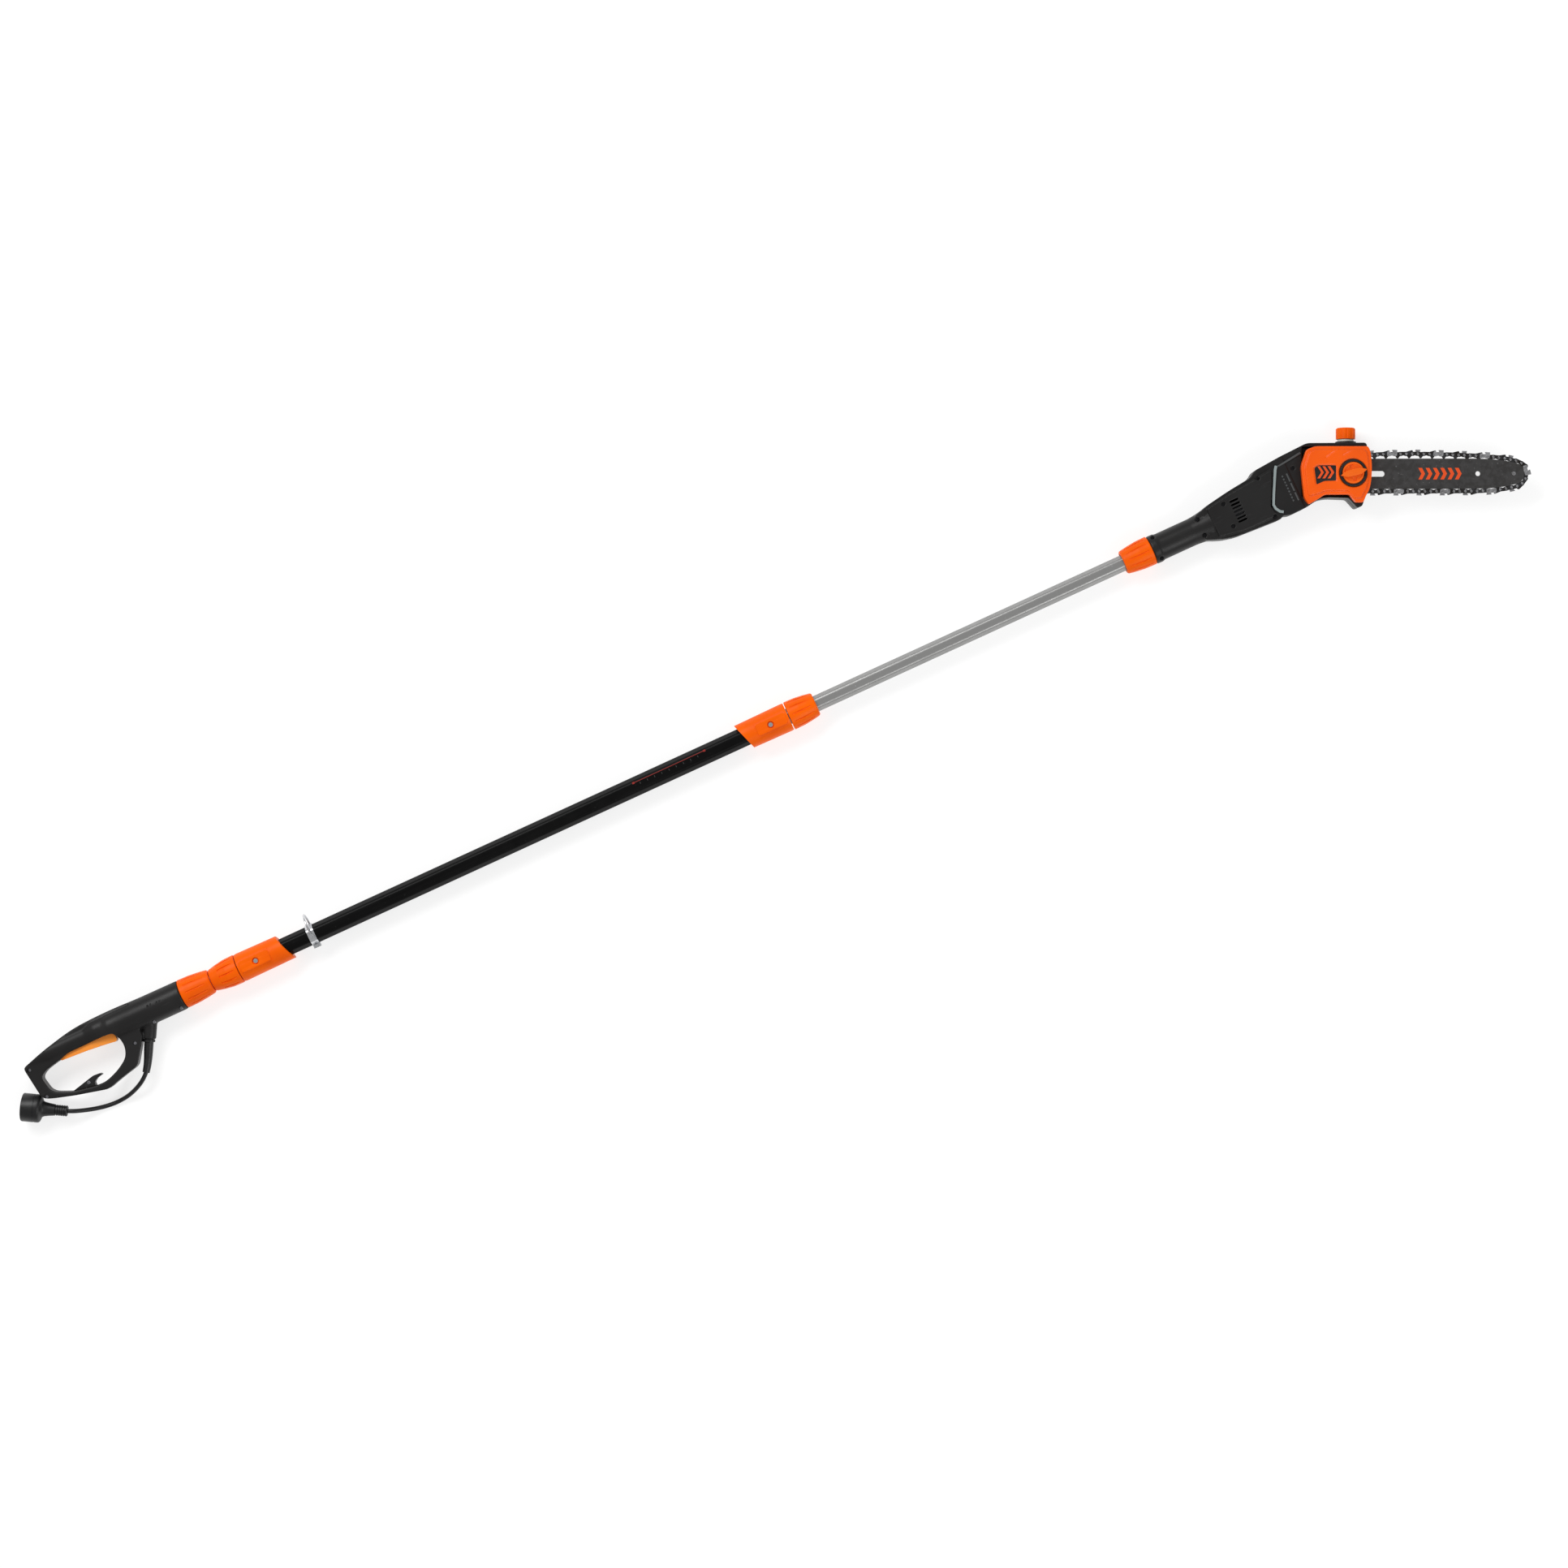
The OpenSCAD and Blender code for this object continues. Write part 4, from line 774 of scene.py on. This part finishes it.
def makeTrigger():
    shape = triggerShape
    trigger = plate("trigger_", rounded(shape["outline"], 6), -shape["halfThickness"], shape["halfThickness"])
    for index in range(shape["grooves"]):
        place = spot(shape["grooveStart"] + shape["grooveStep"] * index,
                     shape["grooveLine"] - shape["grooveDrop"] * index)
        combined(trigger, spun("groove", [(0, -20), (1.6, -20), (1.6, 20), (0, 20)], 20, place, (0, 0, 1)),
                 "DIFFERENCE")
    roundEdges(trigger, shape["edge"], 4, 50)
    return dress(trigger, "orangeTrigger", "trigger", "trigger_plastic", "trigger")


makeTrigger()
hook = plate("leadHook", rounded(hookShape["outline"], 4), hookShape["low"], hookShape["high"])
roundEdges(hook, hookShape["edge"], 3, 50)
dress(hook, "blackShell", "pole", "black_plastic", "cord_hook")

# Raised plain marks beside the handle's nut
markShape = {"places": [(-314, 6), (-309, 6), (-298, 5), (-293, 5)], "low": 24.4, "high": 25.1}
marks = []
for x, y in markShape["places"]:
    outline = [(x - 2, y - 2.2, 1), (x + 1, y - 2.2, 0.6), (x + 2, y + 2.2, 1), (x - 1, y + 2.2, 0.6)]
    marks.append(plate("mark", rounded(outline, 3), markShape["low"], markShape["high"]))
dress(joined(marks, "handleMarks"), "blackShell", "pole", "black_plastic")
print("trigger, hook and marks made")

# Screws: one head with a cross recess, set wherever the shells are closed
screwHead = {"depth": 1.9, "crossReach": 1.2, "crossWidth": 0.75, "crossDepth": 2.2, "turns": (20, 110),
             "sides": 28, "sunk": 0.9}
screwSets = {
    "handleScrews": dict(
        body="pole", part="handle_screws", look="screwSteel", radius=2.9,
        places=handleShape["screws"] + [(-457, -68, 10.3), (-425.6, 17, 14.2)]),
    "sleeveScrews": dict(
        body="pole", part="sleeve_screws", look="zincPlate", radius=3.9,
        places=[(-122, -0.5, 23.8), (808, -0.5, 23.8)]),
    "headScrews": dict(
        body="head", part="head_screws", look="blackenedSteel", radius=3.1,
        places=[(1506.5, 17.9, 16), (1506.5, -19.9, 14), (1585.8, 13.5, 18), (1585.8, -14.8, 18),
                (1633.5, 19, 27), (1633.5, -21, 27), (1702.7, 33.7, 24), (1703, -35, 24), (1763, 25, 20)]),
}


def makeScrewHead(radius):
    deep = screwHead["depth"]
    profile = [(0, -deep), (radius * 0.6, -deep), (radius, -0.6), (radius, -0.25), (radius - 0.35, 0),
               (0, 0.15)]
    head = spun("screwHead", profile, screwHead["sides"], (0, 0, 0), (0, 0, 1))
    size = (screwHead["crossReach"] * radius / 1000, screwHead["crossWidth"] / 1000,
            screwHead["crossDepth"] / 1000)
    for turn in screwHead["turns"]:
        deselect()
        bpy.ops.mesh.primitive_cube_add(size=1, location=(0, 0, 0), scale=size,
                                        rotation=(0, 0, math.radians(turn)))
        blade = named("blade")
        settle(blade)
        combined(head, blade, "DIFFERENCE")
    return head


for setName, screwSet in screwSets.items():
    head = makeScrewHead(screwSet["radius"])
    copies = []
    for x, y, height in screwSet["places"]:
        screw = copied(head, "screw")
        screw.location = spot(x, y, height - screwHead["sunk"])
        settle(screw)
        copies.append(screw)
    bpy.data.objects.remove(head)
    dress(joined(copies, setName), screwSet["look"], screwSet["body"], "screw_steel", screwSet["part"])
print("screws made")

# Springs and the coiled lead inside the pole: a small ring drawn round the axis as a screw
coils = {
    "coiledLead": dict(ring=2.1, radius=5.8, pitch=6.2, turns=295, steps=12, start=(-333, 0, 0), axis="X"),
    "triggerSpring": dict(ring=0.45, radius=3.0, pitch=2.2, turns=6, steps=20, start=(-462, -2.3, 0),
                          axis="Y"),
    "lockSpring": dict(ring=0.4, radius=3.9, pitch=2.0, turns=4, steps=20, start=(-440, 11, -11), axis="Z"),
}


def makeCoil(name):
    coil = coils[name]
    deselect()
    bpy.ops.mesh.primitive_circle_add(vertices=8, radius=coil["ring"] / 1000, fill_type="NOTHING",
                                      location=(coil["radius"] / 1000, 0, 0), rotation=(math.pi / 2, 0, 0))
    piece = named(name)
    settle(piece)
    applied(piece, "SCREW", axis="Z", angle=2 * math.pi, screw_offset=coil["pitch"] / 1000,
            iterations=coil["turns"], steps=coil["steps"], render_steps=coil["steps"],
            use_merge_vertices=False)
    takeUp(piece)
    bpy.ops.object.mode_set(mode="EDIT")
    bpy.ops.mesh.select_all(action="DESELECT")
    bpy.ops.mesh.select_non_manifold()
    bpy.ops.mesh.edge_face_add()
    closeUp()
    heading = {"X": (1, 0, 0), "Y": (0, 1, 0), "Z": (0, 0, 1)}[coil["axis"]]
    piece.rotation_mode = "QUATERNION"
    piece.rotation_quaternion = Vector(heading).to_track_quat("Z", "Y")
    piece.location = spot(*coil["start"])
    settle(piece)
    bpy.ops.object.shade_smooth()
    return piece


lead = dress(makeCoil("coiledLead"), "leadJacket", "pole", "lead_jacket", "coiled_lead")
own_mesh(lead)
spring = dress(makeCoil("triggerSpring"), "springSteel", "pole", "spring_steel", "trigger_spring")
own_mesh(spring)
spring = dress(makeCoil("lockSpring"), "springSteel", "pole", "spring_steel", "lock_off_spring")
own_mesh(spring)
print("coils made")

# Saw head
headShape = {"voxel": 1.05, "softening": 4}
for piece, part in (("headShellNear", "head_shell_near"), ("headShellFar", "head_shell_far")):
    shell = twinOf(piece, part)
    melt(shell, headShape["voxel"], headShape["softening"])
    dress(shell, "blackShell", "head", "black_plastic", part)
print("head shells made")

coverShape = {
    "voxel": 0.85, "softening": 5, "panelLow": 36.35, "panelHigh": 36.75,
    "panel": [(-63.6, 8.2, 2), (-57.2, 12.6, 3), (-28, 12.6, 2), (-28, -12.6, 2), (-46.6, -13, 3),
              (-60, -18.8, 2)],
    "chevrons": (-57, -48.5, -40), "chevronLow": 36.7, "chevronHigh": 37.4,
}
cover = twinOf("sprocketCover", "sprocket_cover")
melt(cover, coverShape["voxel"], coverShape["softening"])
dress(cover, "orangeCover", "head", "orange_cover", "sprocket_cover")
panel = plate("coverPanel", rounded(coverShape["panel"]), coverShape["panelLow"], coverShape["panelHigh"],
              barSpot)
roundEdges(panel, 0.15, 2, 50)
dress(panel, "blackShell", "head", "black_plastic")
chevrons = []
for u in coverShape["chevrons"]:
    outline = [(u - 2, -9), (u + 2.5, -9, 0.6), (u + 9, 1, 1), (u + 2.5, 11, 0.6), (u - 2, 11),
               (u + 4.5, 1, 1)]
    chevrons.append(plate("chevron", rounded(outline, 3), coverShape["chevronLow"],
                          coverShape["chevronHigh"], barSpot))
chevronSet = joined(chevrons, "coverChevrons")
roundEdges(chevronSet, 0.2, 2, 50)
dress(chevronSet, "orangePrint", "head", "orange_cover")
print("sprocket cover made")

knobShape = {"radius": 17.7, "gripLength": 22.0, "gripHalf": 5.4, "turn": 13.4, "top": 47.8, "seat": 36.3}


def knobSpot(u, v, z=0.0):
    turn = math.radians(knobShape["turn"])
    return barSpot(u * math.cos(turn) - v * math.sin(turn), u * math.sin(turn) + v * math.cos(turn), z)


def makeKnob():
    shape = knobShape
    seat, radius = shape["seat"], shape["radius"]
    profile = [(0, seat), (16.6, seat), (radius, 37), (radius, 40.2), (16.8, 41.2), (14.6, 40.9),
               (13.8, 39.9), (0, 39.7)]
    knob = spun("lockKnob", profile, 64, barSpot(0, 0, 0), (0, 0, 1))
    for side in (-1, 1):
        dimple = spun("dimple", [(0, 38.4), (3.2, 38.4), (4.2, 42), (0, 42)], 36, knobSpot(0, side * 10.4),
                      (0, 0, 1))
        combined(knob, dimple, "DIFFERENCE")
    long, half = shape["gripLength"], shape["gripHalf"]
    grip = plate("grip", rounded([(-long, 0, 1), (-12, half, 6), (12, half, 6), (long, 0, 1), (12, -half, 6),
                                  (-12, -half, 6)], 6), 38.2, shape["top"], knobSpot)
    roundEdges(grip, 1.8, 4, 50)
    roundEdges(knob, 0.3, 2, 40)
    return dress(joined([knob, grip], "lockKnob"), "orangeKnob", "lock_knob", "knob_plastic", "lock_knob")


ringShape = {
    "inner": 18.4, "outer": 23.0, "low": 36.15, "high": 40.4,
    "pips": 30, "pipLine": 20.7, "pip": [(0, 40.1), (0.75, 40.1), (0.6, 40.75), (0, 40.9)],
}


def makeTensionRing():
    shape = ringShape
    ring = spun("tensionRing", [(shape["inner"], shape["low"]), (shape["outer"] - 0.2, shape["low"]),
                                (shape["outer"], shape["low"] + 1.4), (shape["outer"] - 0.9, shape["high"]),
                                (shape["inner"] + 0.4, shape["high"])], 90, barSpot(0, 0, 0), (0, 0, 1))
    roundEdges(ring, 0.3, 2, 40)
    pips = []
    for index in range(shape["pips"]):
        turn = 2 * math.pi * index / shape["pips"]
        at = barSpot(shape["pipLine"] * math.cos(turn), shape["pipLine"] * math.sin(turn), 0)
        pips.append(spun("pip", shape["pip"], 10, at, (0, 0, 1)))
    whole = joined([ring] + pips, "tensionRing")
    return dress(whole, "blackRing", "tension_ring", "ring_plastic", "tension_ring")


makeKnob()
makeTensionRing()
print("knob and tension ring made")

# Flat-topped panels on the sleeves, round the recessed screws: where each starts, stops and has its screw
sleevePanels = {"lowerSleevePanel": (-150, -97, -122), "upperSleevePanel": (783, 836, 808)}
panelShape = {"half": 10, "low": 20.5, "high": 24.3, "hole": [(0, 15), (5.4, 15), (6.0, 30), (0, 30)]}
for panelName, (start, stop, screwAt) in sleevePanels.items():
    half = panelShape["half"]
    outline = rounded([(start, -half, 4), (stop, -half, 5), (stop, half, 5), (start, half, 4)], 6)
    panel = plate(panelName, outline, panelShape["low"], panelShape["high"])
    combined(panel, spun("hole", panelShape["hole"], 40, spot(screwAt, -0.5), (0, 0, 1)), "DIFFERENCE")
    roundEdges(panel, 0.6, 3, 50)
    dress(panel, "orangeSleeve", "pole", "orange_sleeve")

# The pale strip let into the gear case and the dark ridge beside it
stripShape = {
    "line": [(1739, 40), (1735, 34.5), (1726, 18), (1716, -1), (1708.5, -16.5), (1709.4, -24), (1714, -31),
             (1719, -34)],
    "width": 4.6, "low": 22.0, "high": 25.0,
}
ridgeShape = {"outline": [(1739, 38.8), (1743, 36.6), (1785, 41), (1784, 44.6)], "low": 20, "high": 22.6}


def ribbon(line, width):
    # the outline of a band that follows a line
    left, right = [], []
    for index, point in enumerate(line):
        ahead = Vector(line[min(index + 1, len(line) - 1)]) - Vector(line[max(index - 1, 0)])
        side = Vector((-ahead.y, ahead.x)).normalized() * width / 2
        left.append(tuple(Vector(point) + side))
        right.append(tuple(Vector(point) - side))
    return left + right[::-1]


strip = plate("accentStrip", ribbon(stripShape["line"], stripShape["width"]), stripShape["low"],
              stripShape["high"])
roundEdges(strip, 0.7, 3, 50)
dress(strip, "greyStrip", "head", "grey_plastic", "accent_strip")
ridge = plate("accentRidge", ridgeShape["outline"], ridgeShape["low"], ridgeShape["high"])
roundEdges(ridge, 0.6, 3, 40)
dress(ridge, "darkGrey", "head", "grey_plastic")

# Two columns of moulded ticks on the gear case: where each stands, how many, how far apart and how long
tickShape = {"columns": [(1741.5, 9, 5.4, 1.5), (1749.5, 3, 17.0, 7.0)], "first": 21.2, "half": 1.3,
             "low": 21.7, "high": 22.5}


def dash(name, left, right, bottom, top, low, high):
    return plate(name, [(left, bottom), (right, bottom), (right, top), (left, top)], low, high)


ticks = []
for column, count, pitch, halfLength in tickShape["columns"]:
    for row in range(count):
        y = tickShape["first"] - halfLength - pitch * row
        ticks.append(dash("tick", column - tickShape["half"], column + tickShape["half"], y - halfLength,
                          y + halfLength, tickShape["low"], tickShape["high"]))
tickSet = joined(ticks, "caseTicks")
roundEdges(tickSet, 0.3, 2, 50)
dress(tickSet, "darkGrey", "head", "black_plastic")
print("strip, ridge and ticks made")

# Printed marks: one lengthwise line on the pole and plain chevrons on the bar
poleLine = {"from": 561, "to": 693, "block": 4.0, "low": 14.9, "high": 15.1, "blockHigh": 15.12,
            "tickCount": 9, "tickStep": 13, "tickStart": 12, "tickHigh": 15.08}
start, stop, block = poleLine["from"], poleLine["to"], poleLine["block"]
line = [dash("line", start, stop, 5.95, 6.85, poleLine["low"], poleLine["high"])]
for x in (start, stop - block):
    line.append(dash("block", x, x + block, 4.8, 8, poleLine["low"], poleLine["blockHigh"]))
poleTicks = []
for index in range(poleLine["tickCount"]):
    x = start + poleLine["tickStart"] + poleLine["tickStep"] * index
    poleTicks.append(dash("tick", x, x + 1, 0.5, 3.6, poleLine["low"], poleLine["tickHigh"]))
dress(joined(line, "poleLine"), "redPrint", "pole", "outer_tube_paint")
dress(joined(poleTicks, "poleTicks"), "greyPrint", "pole", "outer_tube_paint")

barMark = {"from": 110, "count": 6, "step": 12, "half": 9.5, "band": 6, "point": 5,
           "low": 17.95, "high": 18.1}
bars = []
for index in range(barMark["count"]):
    u = barMark["from"] + barMark["step"] * index
    half, band, point = barMark["half"], barMark["band"], barMark["point"]
    outline = [(u, -half), (u + band, -half), (u + band + point, 0), (u + band, half), (u, half),
               (u + point, 0)]
    bars.append(plate("band", outline, barMark["low"], barMark["high"], barSpot))
dress(joined(bars, "barChevrons"), "orangePrint", "bar", "bar_paint")

# The bright head of the rivet that the nose sprocket turns on
noseRivet = {"along": 266.7, "radius": 3.2, "low": 18.2, "high": 18.42, "sides": 28}
rim = []
for index in range(noseRivet["sides"]):
    turn = 2 * math.pi * index / noseRivet["sides"]
    radius = noseRivet["radius"]
    rim.append((noseRivet["along"] + radius * math.cos(turn), radius * math.sin(turn)))
rivetHead = plate("noseRivet", rim, noseRivet["low"], noseRivet["high"], barSpot)
dress(rivetHead, "rivetSteel", "bar", "rivet_steel")
print("printed marks made")

# Finishes of the parts that are carried over as they are
carriedOver = {
    "orangeMoulded": ["handle_nut", "lower_lock_nut", "upper_lock_nut", "head_nut", "oil_cap"],
    "orangeSleeve": ["lower_sleeve", "upper_sleeve"],
    "orangeTrigger": ["lock_off_button"],
    "innerMoulding": ["power_switch", "cord_clamp", "cooling_fan", "lower_collet", "upper_collet",
                      "head_spigot", "oil_pump"],
    "milkyPlastic": ["slide_bush", "oil_tank"],
    "brassBlade": ["plug_blades"],
    "tubePaint": ["outer_tube"],
    "drawnAluminium": ["inner_tube", "handle_tube"],
    "zincPlate": ["strap_clamp", "clamp_bolt", "strap_ring"],
    "springSteel": ["trigger_pin"],
    "machinedSteel": ["motor_bearings", "shaft_bearings", "bevel_pinion", "bevel_gear", "output_shaft",
                      "bar_stud", "drive_sprocket", "nose_sprocket"],
    "blackenedSteel": ["motor_stator", "armature"],
    "carbonBlock": ["carbon_brushes"],
    "barEnamel": ["guide_bar"],
    "chainSteel": ["chain_drive_links", "chain_ties"],
    "hardChrome": ["chain_cutters"],
    "rivetSteel": ["chain_rivets"],
}
for look, parts in carriedOver.items():
    for part in parts:
        for holder in nodes[part].material_slots:
            holder.material = finish[look]
print("carried-over parts finished")
